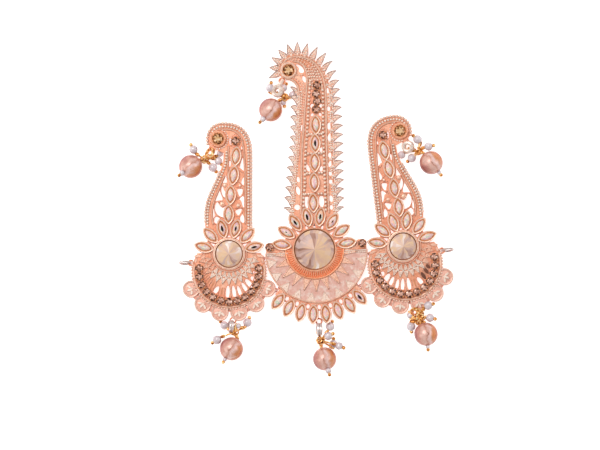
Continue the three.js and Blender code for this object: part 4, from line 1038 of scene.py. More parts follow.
# The row of grains round the head's small stone, and the round bosses: x, y, radius.
SIDE_HEAD_ROW = [(1.9, 49.2), (0.9, 50.2), (1.0, 53.4), (2.4, 54.9), (4.2, 54.3), (5.2, 52.4)]
SIDE_BOSSES = [(-3.2, 22.9, 1.35), (-1.9, 31.6, 1.15), (4.2, 22.3, 1.05), (0.9, 32.2, 0.9), (5.0, 31.4, 0.8)]
RIB_FOOT = 4.7
pearl_dots = plating("pearl_dots",
                     [(0.0, (0.74, 0.38, 0.26)), (0.4, (0.92, 0.70, 0.57)), (1.0, (0.96, 0.86, 0.77))],
                     low=0.0046, high=0.0056)
for side, body, mirrored in SIDES:
    lines = side_bench(side, mirrored)
    for line in (SIDE_RIGHT_EDGE, SIDE_LEFT_EDGE):
        beads = smooth_line(line, 1.5)
        grains(lines, beads, 0.72, 4.95, 3)
        grains(lines, beads[:-1] + np.diff(beads, axis=0) / 2, 0.45, 5.0, 1)
    # Painted shade: dark strips just over the floor beside the dotted lines and rails.
    strip(lines, smooth_line(SIDE_DOTS, 0.8), 1.1, 4.97, 2)
    grains(lines, smooth_line(SIDE_DOTS, 1.35), 0.56, 5.2, 4)
    for i, line in enumerate(SIDE_RAILS):
        strip(lines, smooth_line(line, 0.8), 1.2, 4.99, 2)
        if i == DOTTED_RAIL:
            grains(lines, smooth_line(line, 1.3), 0.55, 5.2, 4)
        else:
            rail(lines, smooth_line(line, 0.8), 0.8, RIB_FOOT, 5.85)
    for line in SIDE_SCROLLS:
        rail(lines, smooth_line(line, 0.5), 0.45, RIB_FOOT, 5.5, 4, finish=3)
    grains(lines, smooth_line(arc(4.6, *SIDE_CURL, -95, 62, 30), 1.15), 0.44, 5.1, 4)
    grains(lines, smooth_line(SIDE_HEAD_ROW, 1.1), 0.38, 5.05, 3)
    for x, y, radius in SIDE_BOSSES:
        turned(lines, x, y,
               [(radius, RIB_FOOT), (radius * 0.92, 5.3), (radius * 0.6, 5.65), (radius * 0.2, 5.75)], 14)
    lines.made(f"{side}_raised_lines", body, "rose_plating", [peach, lip_plating, painted_shade, dots, pearl_dots],
               f"{side}_plate")

# ---------------------------------------------------------------------------------------------
# The medallions: a smooth band round the edge with a fine rope on it, spikes like a comb that hang
# from the round crystal's collar, and a ring of thirteen smoky brilliants inside the band. One
# more brilliant is set in the head of each arm.
ROW_RADIUS, ROW_FIRST, ROW_STEP = 13.8, 173.0, 16.17
# The comb's blind slots: angle, reach, half length. They are shallow hollows painted dark as painted
# shadow; the right plate's are wider and darker, and the last is alike on both. Their looks: half
# width, finish.
BLIND_SLOTS = [(242, 16.4, 1.95), (233.5, 15.5, 1.7), (225.5, 14.7, 1.3)]
SLOT_LOOKS = {"left": (0.36, 2), "right": (0.8, 4)}
LAST_SLOT = (259, 17.6, 2.0, 0.4, 2)
# The leaves at both ends of the band, as on its right: x, y, half length, half width, turn.
BAND_LEAVES = [(14.3, -1.0, 1.8, 0.75, 172), (15.3, -3.2, 1.3, 0.6, 108), (12.0, -1.6, 1.4, 0.6, 140),
               (16.2, -5.6, 1.1, 0.5, 100), (11.7, -0.1, 0.9, 0.4, 178)]
for side, body, mirrored in SIDES:
    band = side_bench(side, mirrored)
    rail(band, arc(16.2, 0, MEDALLION_Y, -192, 12, 72), 1.3, RIB_FOOT, 5.6)
    grains(band, arc(17.15, 0, MEDALLION_Y, -196, 16, 48), 0.5, 4.95, 1)
    rail(band, arc(15.4, 0, MEDALLION_Y, -186, 6, 64), 0.4, RIB_FOOT, 5.5, 4)
    rail(band, arc(11.9, 0, MEDALLION_Y, -186, 6, 56), 0.5, RIB_FOOT, 5.35, 4)
    rail(band, arc(8.2, 0, 0, -188, 8, 40), 0.7, RIB_FOOT, 5.9)
    for k in range(-6, 7):
        angle, finish = -90 + 12.5 * k, 1 if k > -4 else 0
        petal(band, around(10.9, angle), around(8.5, angle), 0.95, 0.25, finish)
        petal(band, around(11.3, angle), around(14.0, angle), 1.0, 0.28, finish)
    slots = [(*slot, *SLOT_LOOKS[side]) for slot in BLIND_SLOTS] + [LAST_SLOT]
    for angle, reach, long, wide, finish in slots:
        hollow = leaf(long, wide, *around(reach, angle), angle, 14, 1.1)
        band.add(*stacked(hollow, [(4.8, 0), (5.12, 0)]), finish)
        for beside in (-4.2, 4.2):
            ray = around(1, angle + beside)
            rail(band, [ray * (reach - long), ray * reach, ray * (reach + long)], 0.5, RIB_FOOT, 5.35, 4,
                 finish=3)
    for x, y, long, wide, turn in BAND_LEAVES:
        for way in (-1, 1):
            shape = leaf(long, wide, way * x, y, turn * way, 16, 1.2)
            band.add(*stacked(shape, [(4.8, 0), (5.1, 0), (5.3, 0.18)]), 3)
    slot_places = np.array([(x, y) for x, y, *_ in COMB_SLOTS[1:6]])
    for near in (slot_places[:-1] + slot_places[1:]) / 2:
        ray = near / np.linalg.norm(near)
        rail(band, [near - ray * 2.6, near, near + ray * 2.2], 0.5, RIB_FOOT, 5.4, 4, finish=1)
    for angle in range(190, 222, 9):
        ray = around(1, angle)
        reach = 14.2 + 3.6 * (angle - 190) / 54 - 2.4 * (angle < 200)
        rail(band, [ray * (reach - 2.2), ray * (reach - 1.1), ray * reach], 0.7, RIB_FOOT, 5.3, 4, finish=3)
    band.made(f"{side}_medallion", body, "rose_plating", [peach, pale, painted_shade, dots, seam], f"{side}_plate")

    row, stones = side_bench(side, mirrored), side_bench(side, mirrored)
    for i in range(13):
        x, y = around(ROW_RADIUS, ROW_FIRST + ROW_STEP * i, 0, MEDALLION_Y)
        chaton_cup(row, x, y)
        brilliant(stones, x, y, turn=chance.uniform(0, 45))
    chaton_cup(row, *SIDE_CHATON)
    brilliant(stones, *SIDE_CHATON)
    row.made(f"{side}_chaton_cups", body, "rose_plating", [peach, seam], f"{side}_plate")
    stones.made(f"{side}_chatons", body, "smoky_crystal", [smoky], f"{side}_plate", crease=0)

# ---------------------------------------------------------------------------------------------
# The shell edge: six scallops under each medallion, grown together at their sides. Each is a
# shallow dome with a rolled rim and three pale leaves that spread from the medallion.
SHELL_RADIUS, SHELL_RING, SHELL_FIRST, SHELL_STEP = 4.0, 19.1, 204.5, 26.4
SHELL_DOME = [(4.02, 4.5), (3.9, 4.85), (3.6, 5.05), (3.2, 5.0), (2.9, 4.75), (1.6, 4.8), (0.6, 4.85)]
# The leaves: angle from the shell's own, reach, half length, half width.
SHELL_LEAVES = [(-72, 1.5, 1.2, 0.6), (0, 0.6, 1.6, 0.62), (72, 1.5, 1.2, 0.6)]
shell_plating = plating("shell_plating",
                        [(0.0, (0.76, 0.33, 0.23)), (0.5, (0.83, 0.43, 0.33)), (1.0, (0.88, 0.56, 0.46))],
                        high=0.0052)
for side, body, mirrored in SIDES:
    shells = side_bench(side, mirrored)
    for i in range(6):
        a = SHELL_FIRST + SHELL_STEP * i
        x, y = around(SHELL_RING, a, 0, MEDALLION_Y)
        turned(shells, x, y, [(SHELL_RADIUS, PLATE_BACK + BACK_STEP * (4 + i))] + SHELL_DOME, 32)
        rail(shells, arc(3.62, x, y, a - 118, a + 118, 28), 0.42, 4.75, 5.2, 4, finish=1)
        for fan, reach, long, wide in SHELL_LEAVES:
            mark = leaf(long, wide, *around(reach, a + fan, x, y), a + fan * 0.8, 16, 1.1)
            shells.add(*stacked(mark, [(RIB_FOOT, 0), (5.1, 0), (5.4, 0.14)]), 1)
        if i < 5:
            # The web to the next shell: the middle one is narrow, to clear the drop's eye.
            web, wide = (18.7, 3.2) if i != 2 else (17.7, 1.4)
            rail(shells, arc(web, 0, MEDALLION_Y, a + 7, a + SHELL_STEP - 7, 8), wide, PLATE_BACK, 4.5, 4)
    shells.made(f"{side}_shells", body, "rose_plating", [shell_plating, pearl_dots], f"{side}_plate")

# ---------------------------------------------------------------------------------------------
# The side plates' settings and crystals: six marquises in a fan, four up the arm, a golden curl
# stone at the head, and a rivoli in a plain cup in the middle.
SIDE_DARK = {"left": {0: 1.0, 2: 0.9, 3: 1.1}, "right": {}}
SIDE_CUP = [(3.3, 0.02), (3.5, 0.1), (6.9, 3.5), (7.6, 3.7), (7.62, 5.4), (7.4, 5.9), (7.1, 6.0),
            (6.9, 5.8), (6.8, 6.2), (6.46, 6.2)]
SIDE_SEAM = [(6.46, 6.2), (6.26, 5.75), (5.9, 5.6)]
for side, body, mirrored in SIDES:
    rims, column = side_bench(side, mirrored), side_bench(side, mirrored)
    for i in range(6):
        angle = SIDE_FAN_FIRST + SIDE_FAN_STEP * i
        x, y = around(SIDE_FAN_RADIUS, angle)
        setting(rims, x, y, angle)
        stone = side_bench(side, mirrored)
        marquise_stone(stone, x, y, angle, SIDE_DARK[side].get(i, 0.0))
        stone.made(f"{side}_fan_crystal_{i + 1}", body, "iris_crystal", [iris, dark_reflection],
                   f"{side}_fan_stone_{i + 1}", crease=0)
    for x, y, turn in SIDE_MARQUISES:
        setting(rims, x, y, turn)
        marquise_stone(column, x, y, turn)
    rims.made(f"{side}_marquise_settings", body, "rose_plating", [peach, seam], f"{side}_plate")
    column.made(f"{side}_column_crystals", body, "iris_crystal", [iris], f"{side}_plate", crease=0)

    cup, stone, big = side_bench(side, mirrored), side_bench(side, mirrored), side_bench(side, mirrored)
    curl_setting(cup, *SIDE_CURL)
    brilliant(stone, *SIDE_CURL, 2.48, 6.1, 7.1, sides=10)
    turned(cup, 0, 0, SIDE_CUP, 60, finish=2, end=False)
    turned(cup, 0, 0, SIDE_SEAM, 60, finish=3, start=False)
    rivoli(big, 0, 0, 5.95, 5.9, 8.3, 24, 40, 1.5)
    cup.made(f"{side}_cups", body, "rose_plating", [orange, seam, peach, groove_shade], f"{side}_plate")
    stone.made(f"{side}_curl_crystal", body, "smoky_crystal", [golden], f"{side}_curl_stone", crease=0)
    big.made(f"{side}_round_crystal", body, "champagne_crystal", [champagne], f"{side}_rivoli", crease=0)

# ---------------------------------------------------------------------------------------------
# The links: two small jump rings on each side go round flat eyes under the plates' edges, so that
# a side plate folds back behind the middle one. Each eye is soldered on a post behind the edge.
HINGE_WIRE, HINGE_RADIUS, HINGE_HEIGHT, WIRE_SIDES = 0.34, 1.2, 1.6, 8
# A post's corners: out from the ring towards its plate, and along the fold.
HINGE_POST = [(2.0, -0.7), (2.9, -0.7), (2.9, 0.7), (2.0, 0.7)]


def wire(bench, line, radius, joined=False):
    """Round wire along points in space, with flat ends or joined into a ring."""
    line = np.asarray(line, float)
    ahead = np.roll(line, -1, 0) - np.roll(line, 1, 0) if joined else np.gradient(line, axis=0)
    ahead /= np.linalg.norm(ahead, axis=1, keepdims=True) + 1e-9
    side = np.eye(3)[int(np.argmin(np.abs(ahead[0])))]
    t, rings = np.arange(WIRE_SIDES)[:, None] * 2 * math.pi / WIRE_SIDES, []
    for place, way in zip(line, ahead):
        side = side - way * np.dot(side, way)
        side /= np.linalg.norm(side)
        rings.append(place + radius * (np.cos(t) * side + np.sin(t) * np.cross(way, side)))
    bench.add(*skin(rings, joined=joined))


def hoop(bench, centre, radius, thick, u, v, steps=28):
    """A closed wire ring in the plane of two directions."""
    t = np.arange(steps)[:, None] * 2 * math.pi / steps
    circle = np.cos(t) * np.array(u, float) + np.sin(t) * np.array(v, float)
    wire(bench, np.array(centre) + radius * circle, thick, joined=True)


def globe(bench, centre, radius, axis=(0, 0, 1), hole=0.0, rows=16, sides=24):
    """A round bead, drilled along its axis if it has a hole. Its painted shade is how far a face looks up.
    """
    axis = np.array(axis, float) / np.linalg.norm(axis)
    side = np.cross(axis, np.eye(3)[int(np.argmin(np.abs(axis)))])
    side /= np.linalg.norm(side)
    first = math.asin(hole / radius) if hole else 0.06
    profile = [(radius * math.sin(a), -radius * math.cos(a))
               for a in np.linspace(first, math.pi - first, rows)]
    if hole:
        profile += [(hole, profile[-1][1] * 0.9), (hole, profile[0][1] * 0.9)]
    t = np.arange(sides)[:, None] * 2 * math.pi / sides
    circle = np.cos(t) * side + np.sin(t) * np.cross(axis, side)
    rings = [np.array(centre) + axis * up + r * circle for r, up in profile]
    points, faces = skin(rings, joined=bool(hole))
    upward = [(np.mean([points[i][2] for i in face]) - centre[2]) / radius for face in faces]
    bench.add(points, faces, 0, [0.5 + 0.5 * height for height in upward])


pale_wire = plating("pale_wire",
                    [(0.0, (0.46, 0.36, 0.34)), (0.5, (0.66, 0.56, 0.55)), (1.0, (0.86, 0.79, 0.78))],
                    low=0.0, high=0.0085, metallic=0.4, rough=(0.2, 0.35))
cream_wire = plating("cream_wire",
                     [(0.0, (0.66, 0.36, 0.25)), (0.45, (0.88, 0.64, 0.52)), (1.0, (0.97, 0.86, 0.79))],
                     low=0.0, high=0.0075, rough=(0.2, 0.35))
for side, body, mirrored in SIDES:
    upper, lower = (np.array(centre_of(f"{side}_hinge_ring_{i}")) for i in (1, 2))
    fold_line = (lower - upper)[:2] / np.linalg.norm((lower - upper)[:2])
    to_middle = np.array([-fold_line[1], fold_line[0]])
    to_middle *= np.sign(to_middle[0]) * (-1 if mirrored else 1)
    for i, place in ((1, upper), (2, lower)):
        ring = Bench()
        hoop(ring, place, HINGE_RADIUS, HINGE_WIRE, (*to_middle, 0), (0, 0, 1))
        ring.made(f"{side}_link_ring_{i}", "centre", "gold_findings", [cream_wire], f"{side}_hinge_ring_{i}")
    for rider, way, node in (("centre", to_middle, "centre_plate"), (body, -to_middle, f"{side}_plate")):
        eyes = Bench()
        for place in (upper, lower):
            eye = place[:2] + way * HINGE_RADIUS
            hoop(eyes, (*eye, HINGE_HEIGHT), 0.84, 0.24, (1, 0, 0), (0, 1, 0), 20)
            across = np.array([-way[1], way[0]])
            post = np.array([place[:2] + way * out + across * half for out, half in HINGE_POST])
            if turning(post) < 0:
                post = post[::-1]
            eyes.add(*stacked(post, [(1.3, 0), (1.9, 0), (4.3, 0)]))
        eyes.made(f"{side}_link_eyes_on_{rider}", rider, "rose_plating", [peach], node)

# ---------------------------------------------------------------------------------------------
# The tie loops: a stout wire ring stands in an eye on the outer edge of each side plate, where
# the cord that ties the brooch round a turban is knotted.
TIE_EYE = (-17.55, -4.1, 4.4)
LOOP_LEAN = 14
LOOP_TURNS = {"left": -2.5, "right": 4.5}


def leaning(heading, lean):
    """Two directions of a ring that heads one way, in degrees, and leans from upright."""
    heading, lean = math.radians(heading), math.radians(lean)
    c, s = math.cos(heading), math.sin(heading)
    return np.array([c, s, 0]), np.array([-s * math.sin(lean), c * math.sin(lean), math.cos(lean)])


for side, body, mirrored in SIDES:
    loop = Bench()
    hoop(loop, centre_of(f"{side}_tie_loop"), 2.58, 0.5, *leaning(LOOP_TURNS[side], LOOP_LEAN), 40)
    loop.made(f"{side}_cord_loop", body, "pale_wire", [pale_wire], f"{side}_tie_loop")
    eye = side_bench(side, mirrored)
    hoop(eye, TIE_EYE, 1.1, 0.46, (1, 0, 0), (0, 1, 0), 24)
    eye.made(f"{side}_cord_eye", body, "rose_plating", [peach], f"{side}_plate")

# ---------------------------------------------------------------------------------------------
# The drops: from an eye under the plate hang two jump rings, and from them a knot of wire loops
# where brass head pins meet. Each pin carries one pale lilac glass bead and ends in a ball. The
# longest goes through a big lustre bead of pink glass, with a small bead under its end ball.

# Rings: x, y, lean, heading. Tail: the long pin's heading, its rise and its small bead's radius,
# though no bead is made under 1.
# Small beads: x, y, z, radius, then where the pin's ball shows.
DROPS = [dict(name="left_curl", body="left_side", plate="left_plate", eye=(-44.9, 48.6),
              rings=(-46.2, 46.4, 35, 236), thick=0.45, wire="gold", hub=(-48.8, 43.6, 3.6),
              bead=(-55.3, 40.6), tail=(217, 40, 1.35),
              small=[(-53.6, 48.3, 7.2, 2.0, -54.9, 51.0), (-45.2, 39.7, 2.4, 2.05, -43.5, 37.4),
                     (-42.5, 42.6, 2.1, 1.8, -41.2, 41.2), (-41.6, 46.0, 1.6, 1.5, -40.4, 47.0)]),
         dict(name="centre_curl", body="centre", plate="centre_plate", eye=(-11.6, 78.0),
              rings=(-13.8, 73.6, 80, 254), thick=1.05, ring=1.95, rod=1.0, wire="cream",
              hub=(-10.8, 70.6, 3.6), bead=(-17.4, 65.0), tail=(228, 28, 1.4),
              small=[(-17.2, 75.1, 4.6, 2.0, -16.6, 77.5), (-11.0, 75.0, 2.2, 1.7, -9.8, 76.6),
                     (-11.4, 68.3, 2.2, 1.4, -11.0, 66.6), (-6.8, 71.5, 2.1, 1.95, -5.3, 72.9)]),
         dict(name="right_curl", body="right_side", plate="right_plate", eye=(43.9, 48.2),
              rings=(45.0, 45.3, 72, 298), thick=0.95, ring=1.95, wire="cream", hub=(49.6, 43.2, 3.6),
              bead=(55.3, 37.5), tail=(306, 6, 0.7),
              small=[(49.5, 48.5, 5.4, 2.05, 47.6, 50.3), (54.4, 45.0, 6.6, 1.95, 56.8, 45.3),
                     (46.6, 40.1, 2.4, 2.0, 44.3, 38.4), (42.0, 41.8, 2.0, 1.8, 40.6, 40.6)]),
         dict(name="left_hem", body="left_side", plate="left_plate", eye=(-38.9, -31.0),
              rings=(-40.0, -33.6, 12, 262), thick=0.6, wire="pale", hub=(-38.4, -36.4, 4.4),
              bead=(-40.2, -44.0), tail=(236, 18, 0.8),
              small=[(-43.1, -33.2, 2.3, 2.0, -44.6, -31.6), (-32.4, -32.4, 2.3, 2.05, -31.0, -29.5),
                     (-46.7, -39.6, 4.6, 2.1, -49.0, -41.0), (-36.4, -33.6, 6.0, 1.2, -34.2, -35.2)]),
         dict(name="centre_hem", body="centre", plate="centre_plate", eye=(0.6, -33.2),
              rings=(0.45, -36.8, 6, 268), thick=0.7, wire="pale", hub=(0.9, -42.0, 4.6), bead=(2.4, -50.5),
              tail=(285, 30, 1.35),
              small=[(5.6, -35.8, 3.0, 2.05, 7.0, -33.2), (4.6, -40.0, 6.6, 1.9, 6.9, -39.0),
                     (6.8, -43.9, 3.2, 1.95, 7.0, -41.4), (9.4, -44.8, 6.2, 1.8, 11.8, -45.9)]),
         dict(name="right_hem", body="right_side", plate="right_plate", eye=(44.8, -30.6),
              rings=(45.2, -31.6, 50, 278), thick=0.7, wire="gold", hub=(46.6, -35.0, 5.0),
              knot=(47.0, -31.8, 6.0), bead=(49.5, -41.2), tail=(275, 10, 0.7),
              small=[(51.0, -28.0, 8.2, 2.0, 53.2, -27.4), (51.7, -33.7, 5.4, 1.95, 53.8, -34.3),
                     (42.8, -37.4, 3.4, 2.1, 42.9, -39.8), (42.6, -32.2, 3.4, 1.55, 43.2, -34.8)])]
BIG_BEAD_RADIUS, BIG_BEAD_HOLE, PIN_WIRE, PIN_BALL = 5.37, 0.75, 0.47, 0.9
DROP_EYE_HEIGHT, RING_HEIGHT, BIG_BEAD_HEIGHT = 4.4, 4.6, 5.4
RING_RADIUS, ROD_WIRE, KNOT_LOOPS, SPARE_LOOPS = 2.35, 0.7, 7, 6


def straight(bench, start, end, radius, first=0.0):
    """A straight wire to an end, from a share of the way before or after its start."""
    wire(bench, [start + (end - start) * share for share in np.linspace(first, 1, 6)], radius)


def square_to(way, hint):
    """A direction square to a way and to a hint."""
    square = np.cross(way, hint)
    return square / np.linalg.norm(square)


def wraps(bench, start, end):
    """Turns of wire wound round a pin beside its bead."""
    way = (end - start) / np.linalg.norm(end - start)
    beside = square_to(way, (0.1, 0.2, 1.0))
    for k in range(3):
        hoop(bench, start + way * (0.7 + 0.52 * k), 0.58, 0.3, beside, np.cross(way, beside), 12)


def bead_glass(name, centre, bore):
    """Pink lustre glass with a dark streak along its bore. Painted light: pale highlights beside the
    streak, an orange glow on one side, darker edges and a shaded rim.
    """
    material, nodes, links, shader = node_material(name)
    place = nodes.new("ShaderNodeTexCoord")
    from_centre = nodes.new("ShaderNodeVectorMath")
    from_centre.operation = "SUBTRACT"
    from_centre.inputs[1].default_value = [c * MILLIMETRE for c in centre]
    links.new(place.outputs["Object"], from_centre.inputs[0])

    def reach(way):
        """How far a spot lies along a way, in radii."""
        node = nodes.new("ShaderNodeVectorMath")
        node.operation = "DOT_PRODUCT"
        node.inputs[1].default_value = [float(w) / (BIG_BEAD_RADIUS * MILLIMETRE) for w in way]
        links.new(from_centre.outputs[0], node.inputs[0])
        return node.outputs["Value"]

    flat = np.array([bore[0], bore[1], 0.0]) / math.hypot(bore[0], bore[1])
    beside = np.array([flat[1], -flat[0], 0.0]) * (1 if flat[1] >= 0 else -1)
    across, length = reach(beside), reach(flat)
    swirl = speckle(nodes, links, 260, detail=2)
    bent_across = nodes.new("ShaderNodeMath")
    bent_across.operation = "ADD"
    links.new(across, bent_across.inputs[0])
    links.new(spread(nodes, links, swirl, 0.3, 0.7, -0.2, 0.2), bent_across.inputs[1])
    # Painted light across the bore: darker at both edges as painted shade, pale painted highlights beside
    # the streak, a painted orange glow on one side.
    body = ramp(nodes, links, spread(nodes, links, bent_across.outputs[0], -1, 1, 0, 1),
                [(0.0, (0.40, 0.14, 0.12)), (0.12, (0.54, 0.23, 0.20)), (0.24, (0.66, 0.33, 0.26)),
                 (0.37, (0.80, 0.50, 0.42)), (0.475, (0.72, 0.40, 0.32)), (0.5, (0.56, 0.24, 0.17)),
                 (0.525, (0.70, 0.38, 0.30)), (0.63, (0.86, 0.60, 0.56)), (0.76, (0.70, 0.31, 0.17)),
                 (0.9, (0.70, 0.24, 0.08)), (1.0, (0.52, 0.13, 0.04))])
    narrow = ramp(nodes, links, spread(nodes, links, bent_across.outputs[0], -0.07, 0.07, 0, 1),
                  [(0.1, (0, 0, 0)), (0.5, (1, 1, 1)), (0.9, (0, 0, 0))])
    short = ramp(nodes, links, spread(nodes, links, length, -0.42, 0.42, 0, 1),
                 [(0.15, (0, 0, 0)), (0.45, (1, 1, 1)), (0.85, (0, 0, 0))])
    streak = blend(nodes, links, "MULTIPLY", 1.0, narrow, short)
    # Painted shade: darker near the bead's middle height, which is its rim as seen from above, and white on
    # top.
    rim = ramp(nodes, links, spread(nodes, links, reach((0, 0, 1)), 0, 1, 0, 1),
               [(0.15, (0.72, 0.48, 0.46)), (0.42, (0.88, 0.72, 0.70)), (0.54, (0.82, 0.64, 0.58)),
                (0.62, (1.0, 0.99, 0.98)), (1.0, (1, 1, 1))])
    body = blend(nodes, links, "MULTIPLY", 1.0, body, rim)
    links.new(blend(nodes, links, "MIX", streak, body, (0.16, 0.04, 0.025)), shader.inputs["Base Color"])
    links.new(spread(nodes, links, speckle(nodes, links, 1500), 0.3, 0.7, 0.22, 0.36),
              shader.inputs["Roughness"])
    shader.inputs["Coat Weight"].default_value = 0.1
    shader.inputs["Coat Roughness"].default_value = 0.25
    shader.inputs["Specular IOR Level"].default_value = 0.3
    shader.inputs["Metallic"].default_value = 0.1
    bumps(nodes, links, shader, swirl, 0.1, 0.0001)
    return material


lilac, nodes, links, shader = node_material("lilac_glass")
milk = ramp(nodes, links, speckle(nodes, links, 420, detail=3),
            [(0.3, (0.60, 0.49, 0.51)), (0.5, (0.69, 0.59, 0.61)), (0.7, (0.82, 0.75, 0.76))])
upward = nodes.new("ShaderNodeAttribute")
upward.attribute_name = "facet"
# Painted shade: faces darken the more they look down, so each small bead is lighter on top.
under = ramp(nodes, links, upward.outputs["Fac"],
             [(0.5, (0.56, 0.46, 0.50)), (0.72, (0.80, 0.72, 0.75)), (0.84, (1, 1, 1))])
links.new(blend(nodes, links, "MULTIPLY", 1.0, milk, under), shader.inputs["Base Color"])
links.new(spread(nodes, links, speckle(nodes, links, 2200), 0.3, 0.7, 0.15, 0.3), shader.inputs["Roughness"])
shader.inputs["Coat Weight"].default_value = 0.6
bumps(nodes, links, shader, speckle(nodes, links, 1200), 0.1, 0.00005)

brass, nodes, links, shader = node_material("gold_findings")
# Painted light: random bright glints and dark spots over the wire, as painted highlights and shade.
glints = speckle(nodes, links, 900, detail=2)
links.new(ramp(nodes, links, glints,
               [(0.33, (0.20, 0.045, 0.010)), (0.42, (0.64, 0.21, 0.04)), (0.51, (0.92, 0.43, 0.10)),
                (0.61, (1.0, 0.77, 0.40))]),
          shader.inputs["Base Color"])
scuffs = speckle(nodes, links, 2600)
links.new(spread(nodes, links, scuffs, 0.3, 0.7, 0.16, 0.34), shader.inputs["Roughness"])
shader.inputs["Metallic"].default_value = 0.4
bumps(nodes, links, shader, scuffs, 0.2, 0.00005)

RING_WIRES = dict(gold=brass, pale=pale_wire, cream=cream_wire)
for drop in DROPS:
    name, body = drop["name"], drop["body"]
    eye, rings, strung, pins = Bench(), Bench(), Bench(), Bench()
    hoop(eye, (*drop["eye"], DROP_EYE_HEIGHT), 1.3, 0.38, (1, 0, 0), (0, 1, 0), 24)
    eye.made(f"{name}_eye", body, "rose_plating", [peach], drop["plate"])

    ring_x, ring_y, lean, heading = drop["rings"]
    u, v = leaning(heading, lean)
    beside, middle = np.cross(u, v), np.array([ring_x, ring_y, RING_HEIGHT])
    thick, radius = drop["thick"], drop.get("ring", RING_RADIUS)
    for shift in (-0.85, 0.85):
        hoop(rings, middle + beside * shift * thick, radius, thick, u, v, 32)
    hung_from, near = np.array([*drop["eye"], DROP_EYE_HEIGHT]), middle - u * radius
    if np.linalg.norm(near - hung_from) > 1.5:
        straight(rings, hung_from, near, drop.get("rod", ROD_WIRE), -0.3)
    rings.made(f"{name}_rings", body, "gold_findings", [RING_WIRES[drop["wire"]]], f"{name}_findings")

    hub = np.array(drop["hub"], float)
    knots = [hub] * KNOT_LOOPS
    if "knot" in drop:
        knots += [np.array(drop["knot"], float)] * SPARE_LOOPS
    for knot in knots:
        way = np.array([chance.uniform(-1, 1) for _ in range(3)])
        way /= np.linalg.norm(way)
        across = square_to(way, (0.2, 0.3, 0.9))
        hoop(pins, knot + way * 1.05, 1.4, 0.34, across, np.cross(way, across), 18)
    far = middle + u * radius
    straight(pins, far, hub, 0.42)
    hoop(pins, far - u * 0.5, 0.95, 0.4, u, beside, 16)
    for x, y, z, size, ball_x, ball_y in drop["small"]:
        place = np.array([x, y, z])
        way = np.array([ball_x - x, ball_y - y, 0.0])
        way[2] = 0.25 * np.linalg.norm(way) * np.sign(z - hub[2])
        way /= np.linalg.norm(way)
        globe(strung, place, size, way)
        tip = place + way * (size + PIN_BALL * 0.55)
        globe(pins, tip, PIN_BALL, rows=9, sides=14)
        start = place - way * size
        straight(pins, hub, start, PIN_WIRE * 0.85)
        wire(pins, [start, place, tip], PIN_WIRE)
        globe(pins, start - way * 0.1, 0.6, rows=7, sides=12)
        wraps(pins, start, hub)

    heading, rise, end_bead = drop["tail"]
    heading, rise = math.radians(heading), math.radians(rise)
    out = np.array([math.cos(heading) * math.cos(rise), math.sin(heading) * math.cos(rise), math.sin(rise)])
    centre = np.array([*drop["bead"], BIG_BEAD_HEIGHT])
    mouth = centre - out * (BIG_BEAD_RADIUS + 0.3)
    straight(pins, hub, mouth, PIN_WIRE * 1.3)
    tip = centre + out * (BIG_BEAD_RADIUS + 2 * end_bead + 0.5)
    wire(pins, [mouth, centre, tip], PIN_WIRE)
    globe(pins, tip, PIN_BALL, rows=9, sides=14)
    globe(pins, mouth, 0.75, rows=9, sides=14)
    wraps(pins, mouth, hub)
    globe(strung, centre + out * (BIG_BEAD_RADIUS + end_bead * 0.8), max(end_bead, 1.0), out)
    pins.made(f"{name}_head_pins", body, "gold_findings", [brass], f"{name}_findings")
    strung.made(f"{name}_small_beads", body, "gold_findings", [lilac], f"{name}_findings")
    big = Bench()
    globe(big, centre, BIG_BEAD_RADIUS, out, BIG_BEAD_HOLE, 40, 56)
    big.made(f"{name}_big_bead", body, "lustre_bead", [bead_glass(f"{name}_glass", centre, out)],
             f"{name}_bead")

# ---------------------------------------------------------------------------------------------
# The brooch pin on the middle plate's back: a soldered bar with a coil at one end, a hooked catch
# at the other and a straight pin between them, which holds the brooch to the turban's front.
pin_low, pin_high = (edge * 1000 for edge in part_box("brooch_pin"))
pin_x, pin_y = (pin_high[0] - pin_low[0]) / 2, (pin_low[1] + pin_high[1]) / 2
PIN_STEEL, HOOK_WIRE, COIL_RADIUS, HOOK_STEPS = 0.42, 0.36, 0.95, 16
pin = Bench()
bar = leaf(pin_x, 1.75, 0, pin_y, 0, count=48, point=0.45)
pin.add(*stacked(bar, [(2.62, 0), (2.75, 0), (3.15, 0), (3.28, 0.12)]))
turns = np.linspace(0, 5 * math.pi, 60)
coil = np.column_stack([-(pin_x - 1.3) + COIL_RADIUS * np.sin(turns),
                        np.linspace(pin_y - 1.2, pin_y + 1.0, 60), 1.55 + COIL_RADIUS * np.cos(turns)])
wire(pin, coil, PIN_STEEL)
wire(pin, [coil[-1], (-(pin_x - 2.6), pin_y + 0.6, 0.75), (0, pin_y, 0.85), (pin_x - 1.6, pin_y, 1.0)],
     PIN_STEEL)
t = np.linspace(-0.6, 1.25, HOOK_STEPS) * math.pi
hook = np.column_stack([np.full(HOOK_STEPS, pin_x - 1.2), pin_y + 1.2 * np.cos(t), 1.45 + 1.05 * np.sin(t)])
for shift in (-0.3, 0.0, 0.3):
    wire(pin, hook + (shift, 0, 0), HOOK_WIRE)
for end in (-1, 1):
    foot = leaf(1.0, 1.3, end * (pin_x - 1.2), pin_y, 0, count=20, point=0.8)
    pin.add(*stacked(foot, [(2.2, 0), (2.7, 0)]))
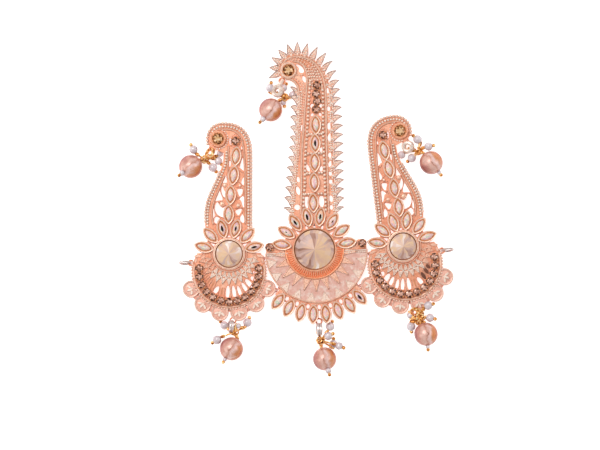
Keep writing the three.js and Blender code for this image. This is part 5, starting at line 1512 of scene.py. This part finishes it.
pin.made("brooch_pin_and_catch", "centre", "pale_wire", [pale_wire], "brooch_pin")

# ---------------------------------------------------------------------------------------------
# The paper sheet and the lights: a plain pale floor of thin paper lit a little from below, so that
# the windows read white, one large soft box above and softer ones at the sides.
SHEET_SIZE = 3.0
SHEET_DROP = 0.0001
SHEET_GLOW = 0.8
ROOM_LIGHT = 0.28

sheet_mesh = bpy.data.meshes.new("paper")
half = SHEET_SIZE / 2
sheet_mesh.from_pydata([(-half, -half, 0), (half, -half, 0), (half, half, 0), (-half, half, 0)], [],
                       [(0, 1, 2, 3)])
paper, nodes, links, shader = node_material("paper")
fibres = speckle(nodes, links, 900)
links.new(ramp(nodes, links, fibres, [(0.3, (0.82, 0.82, 0.82)), (0.7, (0.86, 0.86, 0.86))]),
          shader.inputs["Base Color"])
shader.inputs["Roughness"].default_value = 0.9
shader.inputs["Emission Color"].default_value = (1, 1, 1, 1)
shader.inputs["Emission Strength"].default_value = SHEET_GLOW
bumps(nodes, links, shader, fibres, 0.05, 0.0001)
sheet_mesh.materials.append(paper)
paper_sheet = bpy.data.objects.new("paper", sheet_mesh)
paper_sheet.location.z = cad_low.z - SHEET_DROP
bpy.context.scene.collection.objects.link(paper_sheet)

# The lights: name, place, size, power.
for name, place, size, power in (("top_box", (-0.35, 0.45, 1.1), 0.7, 11),
                                 ("right_box", (1.0, 0.1, 0.7), 0.6, 3),
                                 ("left_box", (-1.0, -0.3, 0.6), 0.5, 2)):
    light = bpy.data.lights.new(name, "AREA")
    light.size, light.energy = size, power
    lamp = bpy.data.objects.new(name, light)
    lamp.location = place
    lamp.rotation_euler = (-Vector(place)).to_track_quat("-Z", "Y").to_euler()
    bpy.context.scene.collection.objects.link(lamp)

world = bpy.data.worlds.new("studio")
world.use_nodes = True
world.node_tree.nodes["Background"].inputs["Color"].default_value = (1, 1, 1, 1)
world.node_tree.nodes["Background"].inputs["Strength"].default_value = ROOM_LIGHT
bpy.context.scene.world = world
bpy.context.scene.view_settings.view_transform = "Standard"
